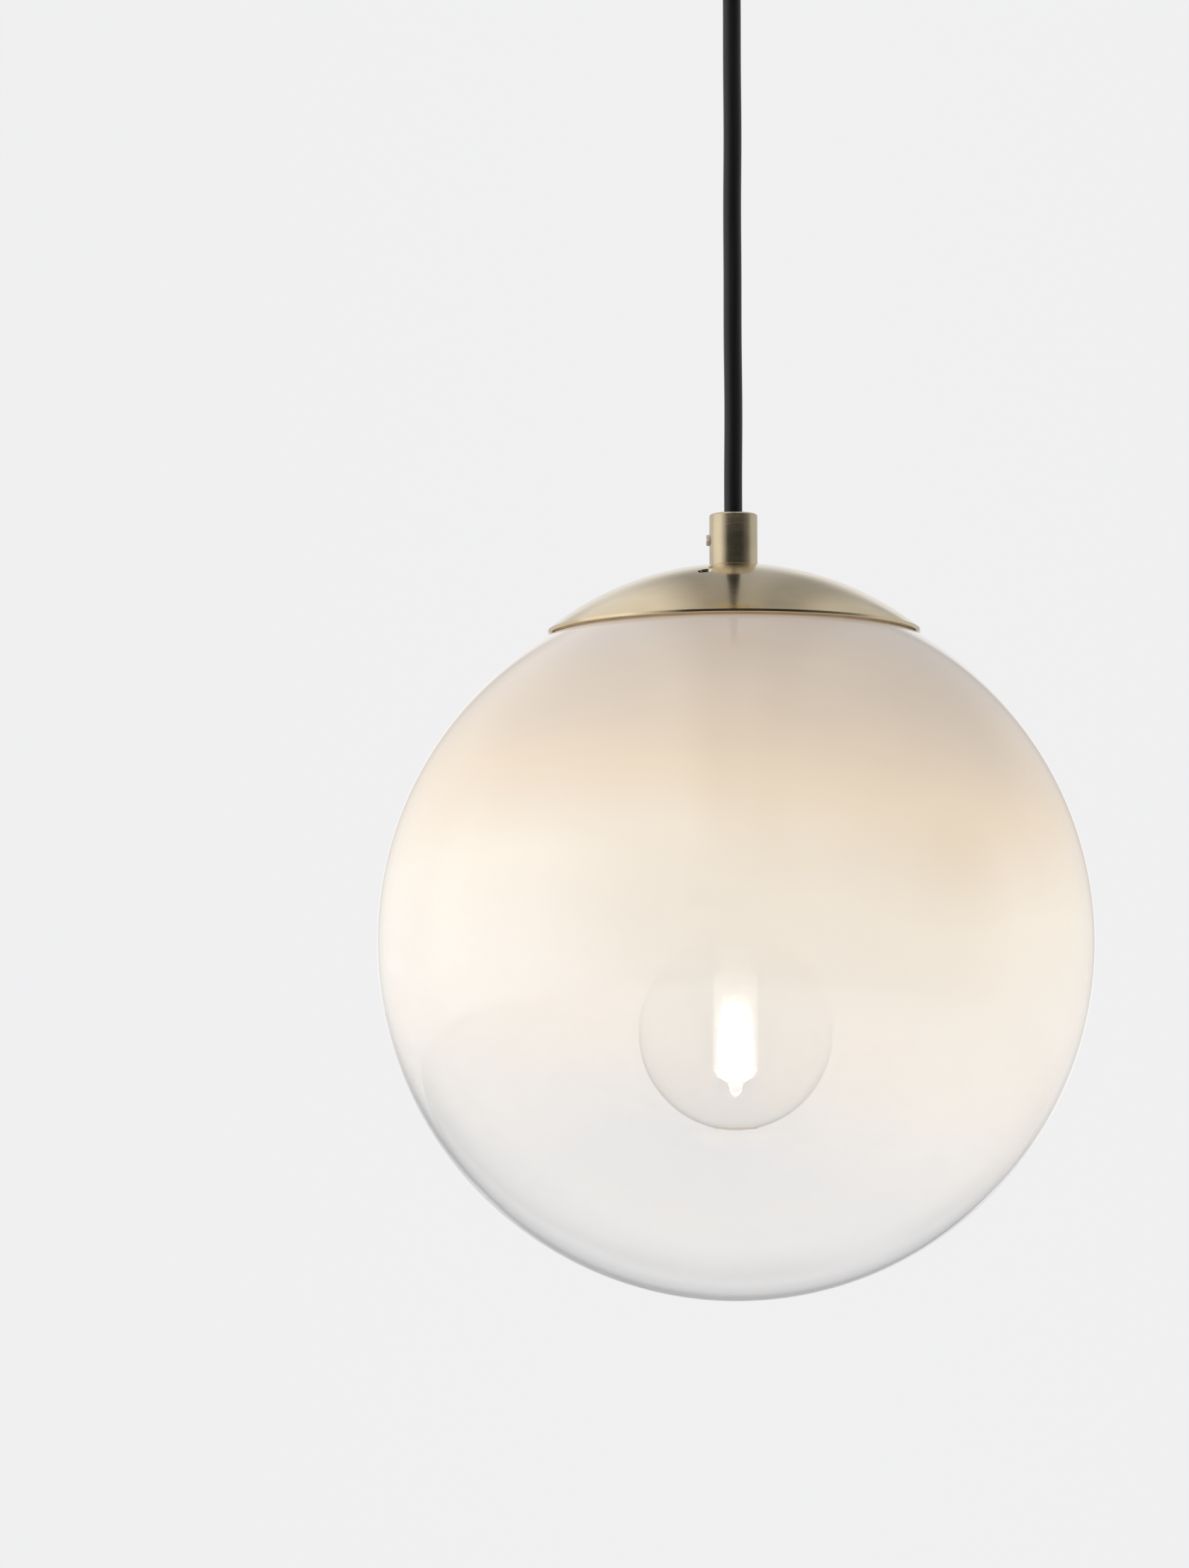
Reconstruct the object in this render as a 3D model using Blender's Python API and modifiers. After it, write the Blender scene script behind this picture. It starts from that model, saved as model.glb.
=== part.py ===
"""Pendant ceiling light: a glass globe under a brass dome, on a cord from a ceiling canopy.

Metres, +Z up. The origin is the middle of the bracket's top face, against the ceiling, and
everything hangs below it. +X is the light's right and -Y its front.
"""

import math

import bmesh
import bpy
from mathutils import Matrix, Vector

# ---------------------------------------------------------------- driving dimensions
CLEARANCE = 0.0003          # between pieces that rest on each other
SHEET = 0.0012              # spun brass of the dome and the canopy
RIM_GAP = 0.00036           # between the dome's rim and the glass

GLOBE_RADIUS = 0.150
GLASS_WALL = 0.003
MOUTH_RADIUS = 0.050

DOME_RIM_RADIUS = 0.0786
DOME_RISE = 0.0275
DOME_SKIRT = 0.0015
DOME_LAND = 0.0115          # radius of the flat that the grip stands on
VENT_RADIUS = 0.0032
VENT_CIRCLE = 0.043
VENT_COUNT = 4
VENT_START = math.radians(254.5)

CANOPY_RADIUS = 0.050
CANOPY_RISE = 0.014
CANOPY_SKIRT = 0.012

CORD_RADIUS = 0.00385
CORD_FREE = 0.226           # between the two grips
LINK_LENGTH = 0.062         # between the two bends of a swinging cord
TAIL_BELOW = 0.001          # jacket that shows under the canopy's grip
TAIL_ABOVE = 0.0037         # jacket above the canopy's threaded tube
CORE_RADIUS = 0.0011
CORE_CIRCLE = 0.0016

GRIP_RADIUS = 0.0102
GRIP_HEIGHT = 0.022
GRIP_TOP_CHAMFER = 0.0010
GRIP_BASE_CHAMFER = 0.0004
THREAD_DEPTH = 0.008        # of the tube that screws into a grip
GRIP_SCREW_HEIGHT = 0.0111
GRIP_SCREW_RADIUS = 0.00235
GRIP_SCREW_PROUD = 0.0013
GRIP_SCREW_SLOT = (0.0008, 0.0014)      # width and depth
SLOT_WIDTH = 0.0007         # of the small steel and brass screws
SLOT_DEPTH = 0.001

TUBE_WALL = 0.00085         # threaded tube, round the cord
NUT_FLATS = 0.014
NUT_HEIGHT = 0.0035
WASHER_RADIUS = 0.009
WASHER_HEIGHT = 0.001
TUBE_PROUD = 0.002          # of a threaded tube beyond its last nut

BRACKET_WIDTH = 0.016
BRACKET_SHEET = 0.0015
BRACKET_SLOT = (0.010, 0.0045)
BRACKET_SLOT_INSET = 0.014  # from the canopy's edge to the middle of a slot
SIDE_SCREW_DEPTH = 0.0065   # below the ceiling
SIDE_SCREW_RADIUS = 0.0019
SIDE_SCREW_HEAD = (0.0036, 0.0038)      # radius and height
SIDE_SCREW_LENGTH = 0.006

BLOCK_SIZE = (0.016, 0.030, 0.012)
BLOCK_X = 0.020
WAY_PITCH = 0.009
WIRE_HOLE_RADIUS = 0.0015
BLOCK_SCREW_RADIUS = 0.0013
BLOCK_SCREW_HEAD = (0.0021, 0.0014)
BLOCK_ROUNDING = 0.0006
TERMINAL_SCREW_RADIUS = 0.0016

CARRIER_ROOM = 0.0022       # dome's inside to the corner of a carrier arm
CARRIER_SHEET = 0.0015
CARRIER_HUB = 0.017
CARRIER_INSET = 0.0055      # from the globe's mouth to the end of an arm
ARM_WIDTH = 0.014
CLIP_WIDTH = 0.012
CLIP_SHEET = 0.0006
CLIP_LENGTH = 0.021         # below the carrier
CLIP_TURN_IN = 0.006
CLIP_START = math.radians(30)
CLIP_BEND = 0.0015          # depth of the bend over the arm's end
CLIP_GRIP = 0.003           # the straight stretch inside the mouth ends this far below its edge
RIVET_INSET = 0.005         # from the arm's end
RIVET_RADIUS = 0.0015
RIVET_HEAD = (0.0026, 0.001)
RIVET_TAIL = (0.0024, 0.0008)
SEAL_WIDTH = 0.0035
SEAL_INSET = 0.0009         # from the inside of the dome's rim

BULB_DROP = 0.0389          # of the bulb's middle below the globe's
BULB_RADIUS = 0.041
BULB_LENGTH = 0.119
BULB_WALL = 0.0008
NECK_CEMENT = 0.00055       # between the bulb's neck and its cap
NECK_JOIN = math.radians(40)
CAP_RADIUS = 0.01305
CAP_LENGTH = 0.0265
CAP_SHEET = 0.0006
THREAD_PITCH = 0.0036
THREAD_RISE = 0.0007
CONTACT_RADIUS = 0.0048
CONTACT_HEIGHT = 0.0012
VITRITE_HEIGHT = 0.004

CAPSULE_RADIUS = 0.0093
CAPSULE_TOP = 0.0528        # below the bulb's contact
CAPSULE_LENGTH = 0.0430
CAPSULE_TIP = 0.0090
CAPSULE_WALL = 0.001
PINCH_SIZE = (0.013, 0.0036, 0.010)
PINCH_NECK = 0.0062
FILAMENT_RADIUS = 0.0012
FILAMENT_LENGTH = 0.022
LEAD_RADIUS = 0.0005
LEAD_OFFSET = 0.004
PINCH_NECK_SPAN = (-0.0075, -0.004)     # about the pinch's middle
MOUNT_ROD = 0.0042          # radius of the glass rod that carries the leads
MOUNT_ROOM = 0.0055         # from the rod's end to the pinch

HOLDER_RADIUS = 0.0205
HOLDER_WALL = 0.0023
HOLDER_MOUTH = 0.025        # bulb's contact to the holder's mouth
HOLDER_LIP = 0.0015
HOLDER_CHAMFER = 0.001
TONGUE_ROOM = 0.0022        # over the bulb's contact
TONGUE_SHEET = 0.0005
TONGUE_WIDTH = 0.005
CUP_FLOOR = 0.0068
CUP_PROUD = 0.002           # of the insulator above the holder's body
HOLDER_CAP_WALL = 0.002
HOLDER_CAP_SIDE = 0.012
HOLDER_CAP_CONE = 0.008
HOLDER_BOSS = (0.008, 0.008)            # radius and height
STEM_INSIDE = 0.001         # of the stem below the holder's boss
TERMINAL_SIZE = 0.006
TERMINAL_ROUNDING = 0.0004
TERMINAL_SCREW_PROUD = 0.0015
TERMINAL_CIRCLE = 0.010
TERMINAL_START = math.radians(90)
CONDUCTORS = ("live", "neutral", "earth")

LARGE, MEDIUM, SMALL, TINY = 32, 20, 16, 8      # sides of a turned piece
GLOBE_STEPS, CAP_STEPS, BULB_STEPS, NECK_STEPS = 18, 7, 10, 4   # points along an arc
CUT_DEPTH = 0.1             # of a cutter that goes right through

# ---------------------------------------------------------------- sizes that follow
CORD_HOLE = CORD_RADIUS + CLEARANCE
TUBE_RADIUS = CORD_HOLE + TUBE_WALL
TUBE_HOLE = TUBE_RADIUS + CLEARANCE
DOME_LAND_RISE = DOME_RISE + DOME_SKIRT
CANOPY_HEIGHT = CANOPY_RISE + CANOPY_SKIRT
BRACKET_EAR = CANOPY_SKIRT - 2 * CLEARANCE
CAP_BORE = CAP_RADIUS + CLEARANCE           # smallest radius of the screw shell
SHELL_RADIUS = CAP_BORE + THREAD_RISE + CAP_SHEET
NECK_RADIUS = CAP_RADIUS - THREAD_RISE - CAP_SHEET - NECK_CEMENT
CARRIER_REACH = MOUTH_RADIUS - CARRIER_INSET
RIVET_CIRCLE = CARRIER_REACH - RIVET_INSET
RIM_INNER = DOME_RIM_RADIUS - SHEET
SEAL_RADII = (RIM_INNER - SEAL_INSET - SEAL_WIDTH, RIM_INNER - SEAL_INSET)


def spun_sphere(rim, rise, land):
    """(radius, depth of its centre below the land) of the sphere that a spun cap follows."""
    above = ((rim**2 - land**2) / rise + rise) / 2
    return math.hypot(above, land), above


def dome_inside(r):
    """How far the dome's inner face lies below its land at a radius."""
    radius, above = spun_sphere(DOME_RIM_RADIUS, DOME_RISE, DOME_LAND)
    return above - math.sqrt((radius - SHEET)**2 - r * r)


CARRIER_DROP = dome_inside(math.hypot(CARRIER_REACH, ARM_WIDTH / 2)) + CARRIER_ROOM

# ---------------------------------------------------------------- heights, from the ceiling down
CANOPY_LAND_Z = -CANOPY_HEIGHT
CANOPY_GRIP_Z = CANOPY_LAND_Z - CLEARANCE                   # its threaded end
CANOPY_GRIP_END = CANOPY_GRIP_Z - GRIP_HEIGHT
CANOPY_WASHER_Z = CANOPY_LAND_Z + SHEET + CLEARANCE
CANOPY_NUT_Z = CANOPY_WASHER_Z + WASHER_HEIGHT + CLEARANCE
NIPPLE_TOP = CANOPY_NUT_Z + NUT_HEIGHT + TUBE_PROUD
NIPPLE_BASE = CANOPY_GRIP_Z - THREAD_DEPTH
TAIL_TOP = NIPPLE_TOP + TAIL_ABOVE
TAIL_END = CANOPY_GRIP_END - TAIL_BELOW
BEND_ONE_Z = TAIL_END - CLEARANCE - CORD_RADIUS
BEND_TWO_Z = BEND_ONE_Z - LINK_LENGTH
GRIP_TOP = CANOPY_GRIP_END - CORD_FREE
GRIP_Z = GRIP_TOP - GRIP_HEIGHT                             # the lower grip's threaded end
STEM_TOP = GRIP_Z + THREAD_DEPTH
CORD_END = STEM_TOP + CLEARANCE
DOME_Z = GRIP_Z - CLEARANCE
STEM_WASHER_Z = DOME_Z - SHEET - CLEARANCE - WASHER_HEIGHT
CARRIER_Z = DOME_Z - CARRIER_DROP
STEM_NUT_TOP = STEM_WASHER_Z - CLEARANCE
CARRIER_NUT_TOP = CARRIER_Z - CARRIER_SHEET - CLEARANCE
RIM_Z = DOME_Z - DOME_LAND_RISE
GLOBE_Z = RIM_Z - RIM_GAP - math.sqrt(GLOBE_RADIUS**2 - RIM_INNER**2)
BULB_Z = GLOBE_Z - BULB_DROP
TIP_Z = BULB_Z - BULB_RADIUS + BULB_LENGTH                  # the bulb's contact
SHELL_END = TIP_Z - HOLDER_MOUTH + HOLDER_LIP + CLEARANCE
CUP_CEILING = TIP_Z + TONGUE_ROOM
CUP_TOP = CUP_CEILING + CUP_FLOOR
HOLDER_SPLIT = CUP_TOP - CUP_PROUD
HOLDER_CAP_Z = HOLDER_SPLIT + CLEARANCE
BOSS_Z = HOLDER_CAP_Z + HOLDER_CAP_SIDE + HOLDER_CAP_CONE
STEM_END = BOSS_Z - STEM_INSIDE

# ---------------------------------------------------------------- the scene
for leftover in list(bpy.data.objects):
    bpy.data.objects.remove(leftover)

PARTS = bpy.data.collections.new("pendant_light")
CUTTERS = bpy.data.collections.new("cutters")
bpy.context.scene.collection.children.link(PARTS)
bpy.context.scene.collection.children.link(CUTTERS)


def material(name, colour, roughness, metallic=0.0, transmission=0.0, glow=0.0):
    made = bpy.data.materials.new(name)
    made.use_nodes = True
    shader = made.node_tree.nodes["Principled BSDF"]
    shader.inputs["Base Color"].default_value = (*colour, 1.0)
    shader.inputs["Roughness"].default_value = roughness
    shader.inputs["Metallic"].default_value = metallic
    shader.inputs["Transmission Weight"].default_value = transmission
    shader.inputs["Emission Color"].default_value = (1.0, 0.85, 0.65, 1.0)
    shader.inputs["Emission Strength"].default_value = glow
    return made


BRUSHED_BRASS = material("brushed_brass", (0.42, 0.31, 0.18), 0.34, metallic=1.0)
POLISHED_BRASS = material("polished_brass", (0.60, 0.48, 0.34), 0.12, metallic=1.0)
PLAIN_BRASS = material("plain_brass", (0.66, 0.50, 0.22), 0.30, metallic=1.0)
STEEL = material("steel", (0.55, 0.55, 0.56), 0.35, metallic=1.0)
BLACK_PVC = material("black_pvc", (0.012, 0.010, 0.011), 0.42)
BLACK_PLASTIC = material("black_plastic", (0.02, 0.02, 0.02), 0.40)
WHITE_PLASTIC = material("white_plastic", (0.80, 0.79, 0.76), 0.45)
CLEAR_NYLON = material("clear_nylon", (0.85, 0.84, 0.80), 0.25, transmission=0.7)
SILICONE = material("silicone", (0.70, 0.68, 0.64), 0.60)
CERAMIC = material("ceramic", (0.82, 0.80, 0.76), 0.50)
GLASS = material("glass", (0.95, 0.95, 0.95), 0.02, transmission=1.0)
VITRITE = material("vitrite", (0.02, 0.02, 0.025), 0.15)
FILAMENT_GLOW = material("tungsten", (0.30, 0.28, 0.26), 0.40, metallic=1.0, glow=20.0)
CORE_COLOURS = {
    "live": material("core_brown", (0.16, 0.06, 0.03), 0.45),
    "neutral": material("core_blue", (0.03, 0.12, 0.45), 0.45),
    "earth": material("core_green_yellow", (0.30, 0.50, 0.05), 0.45),
}


# ---------------------------------------------------------------- placing
def body_frame(name, z, parent=None):
    """An empty on a moving body's joint axis, which its pieces hang from."""
    frame = bpy.data.objects.new(name, None)
    frame["z"] = z
    frame.empty_display_size = 0.02
    PARTS.objects.link(frame)
    frame.parent = parent
    frame.location.z = z - (parent["z"] if parent else 0.0)
    return frame


def place(obj, frame, at=(0.0, 0.0, 0.0), turn=(0.0, 0.0, 0.0)):
    """Puts a piece at a point given from the ceiling, under its body's empty."""
    obj.parent = frame
    obj.location = Vector(at) - Vector((0.0, 0.0, frame["z"]))
    obj.rotation_euler = turn
    return obj


def around(radius, angle, z):
    return (radius * math.cos(angle), radius * math.sin(angle), z)


def angles(count, start):
    return [start + i * math.tau / count for i in range(count)]


# ---------------------------------------------------------------- making solids
def new_object(name, mesh, finish=None, group=PARTS):
    obj = bpy.data.objects.new(name, mesh)
    group.objects.link(obj)
    if finish:
        mesh.materials.clear()
        mesh.materials.append(finish)
    return obj


def realise(obj, weld=1e-6):
    """Applies the modifiers, welds, faces the surface outwards and shades it smooth to 30 degrees."""
    graph = bpy.context.evaluated_depsgraph_get()
    mesh = bpy.data.meshes.new_from_object(obj.evaluated_get(graph))
    shape = bmesh.new()
    shape.from_mesh(mesh)
    bmesh.ops.remove_doubles(shape, verts=shape.verts, dist=weld)
    bmesh.ops.recalc_face_normals(shape, faces=shape.faces)
    shape.to_mesh(mesh)
    shape.free()
    mesh.shade_smooth()
    mesh.set_sharp_from_angle(angle=math.radians(30))
    obj.modifiers.clear()
    obj.data = mesh
    return obj


def turned(name, profile, sides, finish, group=PARTS):
    """A solid of revolution about Z. A profile that leaves the axis and comes back is left open there."""
    points = [(r, 0.0, z) for r, z in profile]
    edges = [(i, i + 1) for i in range(len(points) - 1)]
    if min(profile[0][0], profile[-1][0]) > 0.0:
        edges.append((len(points) - 1, 0))
    mesh = bpy.data.meshes.new(name)
    mesh.from_pydata(points, edges, [])
    obj = new_object(name, mesh, finish, group)
    screw = obj.modifiers.new("Screw", "SCREW")
    screw.steps = screw.render_steps = sides
    screw.use_merge_vertices = True
    screw.merge_threshold = 1e-6
    return realise(obj)


def prism(name, radius, low, high, sides, finish=None, group=PARTS):
    """A straight cylinder about Z, or with few sides a bar such as a hexagon."""
    shape = bmesh.new()
    bmesh.ops.create_cone(
        shape, cap_ends=True, segments=sides, radius1=radius, radius2=radius, depth=high - low,
        matrix=Matrix.Translation((0.0, 0.0, (low + high) / 2)),
    )
    mesh = bpy.data.meshes.new(name)
    shape.to_mesh(mesh)
    shape.free()
    mesh.shade_smooth()
    mesh.set_sharp_from_angle(angle=math.radians(30))
    return new_object(name, mesh, finish, group)


def box(name, size, centre=(0.0, 0.0, 0.0), finish=None, group=PARTS, rounding=0.0):
    shape = bmesh.new()
    scale = Matrix.Diagonal((*size, 1.0))
    bmesh.ops.create_cube(shape, size=1.0, matrix=Matrix.Translation(centre) @ scale)
    mesh = bpy.data.meshes.new(name)
    shape.to_mesh(mesh)
    shape.free()
    obj = new_object(name, mesh, finish, group)
    if rounding:
        bevel = obj.modifiers.new("Bevel", "BEVEL")
        bevel.width = rounding
        bevel.segments = 1
    return obj


def strip(name, path, width, thickness, finish):
    """Bent sheet metal: a path in XZ drawn out along Y, thickened to its right as seen from -Y."""
    shape = bmesh.new()
    rows = [
        [shape.verts.new((x, side * width / 2, z)) for side in (-1, 1)]
        for x, z in path
    ]
    for (a, b), (c, d) in zip(rows, rows[1:]):
        shape.faces.new((a, b, d, c))
    mesh = bpy.data.meshes.new(name)
    shape.to_mesh(mesh)
    shape.free()
    obj = new_object(name, mesh, finish)
    sheet = obj.modifiers.new("Solidify", "SOLIDIFY")
    sheet.thickness = thickness
    sheet.offset = 1.0
    sheet.use_even_offset = True
    return realise(obj)


def smooth_route(points, count):
    """Points at even steps of a Catmull-Rom curve through the given ones."""
    ends = [2 * points[0] - points[1], *points, 2 * points[-1] - points[-2]]
    route = []
    for i in range(count):
        along = i / (count - 1) * (len(points) - 1)
        k = min(int(along), len(points) - 2)
        t = along - k
        a, b, c, d = ends[k:k + 4]
        route.append(
            0.5 * (2 * b + (c - a) * t + (2 * a - 5 * b + 4 * c - d) * t**2
                   + (3 * b - a - 3 * c + d) * t**3)
        )
    return route


def wire(name, route, radius, finish, roundness=1, thins=None):
    """A round wire along a route, in its parent's axes. thins holds one radius factor a point."""
    curve = bpy.data.curves.new(name, "CURVE")
    curve.dimensions = "3D"
    curve.bevel_depth = radius
    curve.bevel_resolution = roundness
    curve.use_fill_caps = True
    spline = curve.splines.new("POLY")
    spline.points.add(len(route) - 1)
    for i, at in enumerate(route):
        spline.points[i].co = (*at, 1.0)
        spline.points[i].radius = thins[i] if thins else 1.0
    curve.materials.append(finish)
    obj = bpy.data.objects.new(name, curve)
    PARTS.objects.link(obj)
    return obj


def boolean(obj, tool, operation):
    """Cuts the tool away from the piece, or joins it on, and keeps the tool as a hidden helper."""
    if tool.name in PARTS.objects:
        PARTS.objects.unlink(tool)
        CUTTERS.objects.link(tool)
    tool.hide_render = True
    tool.display_type = "WIRE"
    step = obj.modifiers.new(tool.name, "BOOLEAN")
    step.operation = operation
    step.object = tool
    return obj


def cut(obj, tool):
    return boolean(obj, tool, "DIFFERENCE")


def join(obj, tool):
    return boolean(obj, tool, "UNION")


def drill(obj, radius, at, turn=(0.0, 0.0, 0.0), low=-CUT_DEPTH / 2, high=CUT_DEPTH / 2, sides=SMALL):
    """A hole in the piece's own axes, from low to high along the turned Z."""
    tool = prism(obj.name + "_drill", radius, low, high, sides, group=CUTTERS)
    tool.parent = obj
    tool.location = at
    tool.rotation_euler = turn
    return cut(obj, tool)


def drill_box(obj, size, at, turn=(0.0, 0.0, 0.0), rounding=0.0):
    tool = box(obj.name + "_slot", size, group=CUTTERS, rounding=rounding)
    tool.parent = obj
    tool.location = at
    tool.rotation_euler = turn
    return cut(obj, tool)


# ---------------------------------------------------------------- shapes used more than once
def arc(radius, start, end, steps, centre=(0.0, 0.0)):
    """Points of an arc in the profile's plane, from angle start to end, measured from +R towards +Z."""
    return [
        (centre[0] + radius * math.cos(a), centre[1] + radius * math.sin(a))
        for a in (start + (end - start) * i / steps for i in range(steps + 1))
    ]


def bezier(p0, p1, p2, p3, steps):
    return [
        tuple(
            (1 - t)**3 * a + 3 * t * (1 - t)**2 * b + 3 * t * t * (1 - t) * c + t**3 * d
            for a, b, c, d in zip(p0, p1, p2, p3)
        )
        for t in (i / steps for i in range(steps + 1))
    ]


def spun_cap(name, rim, rise, skirt, land, finish):
    """A shallow sheet cap with a flat in the middle, a hole for the tube and a short skirt.

    Its own origin is the middle of the flat's outer face, with the rim below it.
    """
    radius, above = spun_sphere(rim, rise, land)
    inner = radius - SHEET
    outer_start = math.acos(land / radius)
    outer_end = math.acos(rim / radius)
    inner_start = math.acos((rim - SHEET) / inner)
    inner_end = math.asin((above - SHEET) / inner)
    foot = -rise - skirt
    profile = [
        (TUBE_HOLE, 0.0),
        *arc(radius, outer_start, outer_end, CAP_STEPS, (0.0, -above)),
        (rim, foot),
        (rim - SHEET, foot),
        *arc(inner, inner_start, inner_end, CAP_STEPS, (0.0, -above)),
        (TUBE_HOLE, -SHEET),
    ]
    return turned(name, profile, LARGE, finish)


def cord_grip(name, finish):
    """A grip with its threaded end at its own origin and the cord leaving at the far end."""
    top = GRIP_HEIGHT
    profile = [
        (CORD_HOLE, top),
        (GRIP_RADIUS - GRIP_TOP_CHAMFER, top),
        (GRIP_RADIUS, top - GRIP_TOP_CHAMFER),
        (GRIP_RADIUS, GRIP_BASE_CHAMFER),
        (GRIP_RADIUS - GRIP_BASE_CHAMFER, 0.0),
        (TUBE_HOLE, 0.0),
        (TUBE_HOLE, THREAD_DEPTH + CLEARANCE),
        (CORD_HOLE, THREAD_DEPTH + CLEARANCE),
    ]
    grip = turned(name, profile, MEDIUM, finish)
    return drill(grip, GRIP_SCREW_RADIUS + CLEARANCE, (0.0, 0.0, GRIP_SCREW_HEIGHT),
                 turn=(0.0, -math.pi / 2, 0.0), low=0.0, sides=TINY * 2)


def grip_screw(name):
    """The clamp screw, along Z from the cord out to its slotted end."""
    low = CORD_RADIUS + CLEARANCE
    high = GRIP_RADIUS + GRIP_SCREW_PROUD
    screw = prism(name, GRIP_SCREW_RADIUS, low, high, TINY * 2, CLEAR_NYLON)
    width, depth = GRIP_SCREW_SLOT
    return drill_box(screw, (width, 3 * GRIP_SCREW_RADIUS, depth), (0.0, 0.0, high))


def washer(name, finish):
    high = WASHER_HEIGHT
    profile = [(WASHER_RADIUS, high), (WASHER_RADIUS, 0.0), (TUBE_HOLE, 0.0), (TUBE_HOLE, high)]
    return turned(name, profile, SMALL, finish)


def nut(name, height, finish):
    body = prism(name, NUT_FLATS / math.sqrt(3), 0.0, height, 6, finish)
    return drill(body, TUBE_HOLE, (0.0, 0.0, 0.0))


def tube(name, low, high, finish):
    profile = [(TUBE_RADIUS, high), (TUBE_RADIUS, low), (CORD_HOLE, low), (CORD_HOLE, high)]
    return turned(name, profile, SMALL, finish)


def headed_screw(name, head_radius, head_height, shank_radius, shank_length, finish, sides=TINY):
    """A screw with its head's underside at its own origin, its shank along +Z and a slot in the head."""
    profile = [
        (0.0, shank_length),
        (shank_radius, shank_length),
        (shank_radius, 0.0),
        (head_radius, 0.0),
        (head_radius, -head_height),
        (0.0, -head_height),
    ]
    screw = turned(name, profile, sides, finish)
    return drill_box(screw, (SLOT_WIDTH, 3 * head_radius, head_height), (0.0, 0.0, -head_height))


def grub_screw(name, low, high, finish):
    """A headless screw along Z, with its slot at the low end."""
    screw = prism(name, TERMINAL_SCREW_RADIUS, low, high, TINY, finish)
    return drill_box(screw, (SLOT_WIDTH, 3 * TERMINAL_SCREW_RADIUS, SLOT_DEPTH), (0.0, 0.0, low))


def ringed(radius, low, high, rise):
    """A wavy line from high to low that stands for a rolled thread, between radius - rise and radius."""
    turns = round((high - low) / THREAD_PITCH)
    points = []
    for i in range(2 * turns + 1):
        z = high + (low - high) * i / (2 * turns)
        points.append((radius - rise * (1 + math.cos(math.pi * i)) / 2, z))
    return points


# ---------------------------------------------------------------- ceiling fitting
def canopy_inner_reach(half_width):
    """How far out a flat piece of this half width reaches inside the canopy's skirt."""
    flat_inside = (CANOPY_RADIUS - SHEET - CLEARANCE) * math.cos(math.pi / LARGE)
    return math.sqrt(flat_inside**2 - half_width**2)


def make_bracket(frame):
    reach = canopy_inner_reach(BRACKET_WIDTH / 2)
    slot_x = CANOPY_RADIUS - BRACKET_SLOT_INSET
    path = [(-reach, -BRACKET_EAR), (-reach, 0.0), (reach, 0.0), (reach, -BRACKET_EAR)]
    bracket = strip("ceiling_bracket", path, BRACKET_WIDTH, BRACKET_SHEET, STEEL)
    for side in (-1, 1):
        slot = (*BRACKET_SLOT, CUT_DEPTH)
        drill_box(bracket, slot, (side * slot_x, 0.0, 0.0))
    drill(bracket, SIDE_SCREW_RADIUS + CLEARANCE, (0.0, 0.0, -SIDE_SCREW_DEPTH),
          turn=(0.0, math.pi / 2, 0.0), low=-CUT_DEPTH, high=CUT_DEPTH, sides=TINY)
    drill(bracket, BLOCK_SCREW_RADIUS + CLEARANCE, (BLOCK_X, WAY_PITCH / 2, 0.0), sides=TINY)
    place(bracket, frame)


def make_canopy(frame):
    canopy = spun_cap("canopy", CANOPY_RADIUS, CANOPY_RISE, CANOPY_SKIRT, DOME_LAND, POLISHED_BRASS)
    drill(canopy, SIDE_SCREW_RADIUS + CLEARANCE, (0.0, 0.0, SIDE_SCREW_DEPTH - CANOPY_HEIGHT),
          turn=(0.0, math.pi / 2, 0.0), low=-CUT_DEPTH, high=CUT_DEPTH, sides=TINY)
    place(canopy, frame, (0.0, 0.0, CANOPY_LAND_Z), (math.pi, 0.0, 0.0))
    for i, side in enumerate((-1, 1), start=1):
        screw = headed_screw(f"canopy_screw_{i}", *SIDE_SCREW_HEAD, SIDE_SCREW_RADIUS, SIDE_SCREW_LENGTH,
                             PLAIN_BRASS)
        place(screw, frame, (side * (CANOPY_RADIUS + CLEARANCE), 0.0, -SIDE_SCREW_DEPTH),
              (0.0, -side * math.pi / 2, 0.0))


def make_canopy_fixings(frame):
    place(tube("canopy_nipple", NIPPLE_BASE, NIPPLE_TOP, STEEL), frame)
    place(washer("canopy_washer", STEEL), frame, (0.0, 0.0, CANOPY_WASHER_Z))
    place(nut("canopy_nut", NUT_HEIGHT, STEEL), frame, (0.0, 0.0, CANOPY_NUT_Z))
    place(cord_grip("canopy_grip", BRUSHED_BRASS), frame,
          (0.0, 0.0, CANOPY_GRIP_Z), (math.pi, 0.0, 0.0))
    place(grip_screw("canopy_grip_screw"), frame,
          (0.0, 0.0, CANOPY_GRIP_Z - GRIP_SCREW_HEIGHT), (0.0, -math.pi / 2, 0.0))


def way_offsets():
    """Where the three ways of the terminal block lie along Y."""
    return {name: (i - 1) * WAY_PITCH for i, name in enumerate(CONDUCTORS)}


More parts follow.
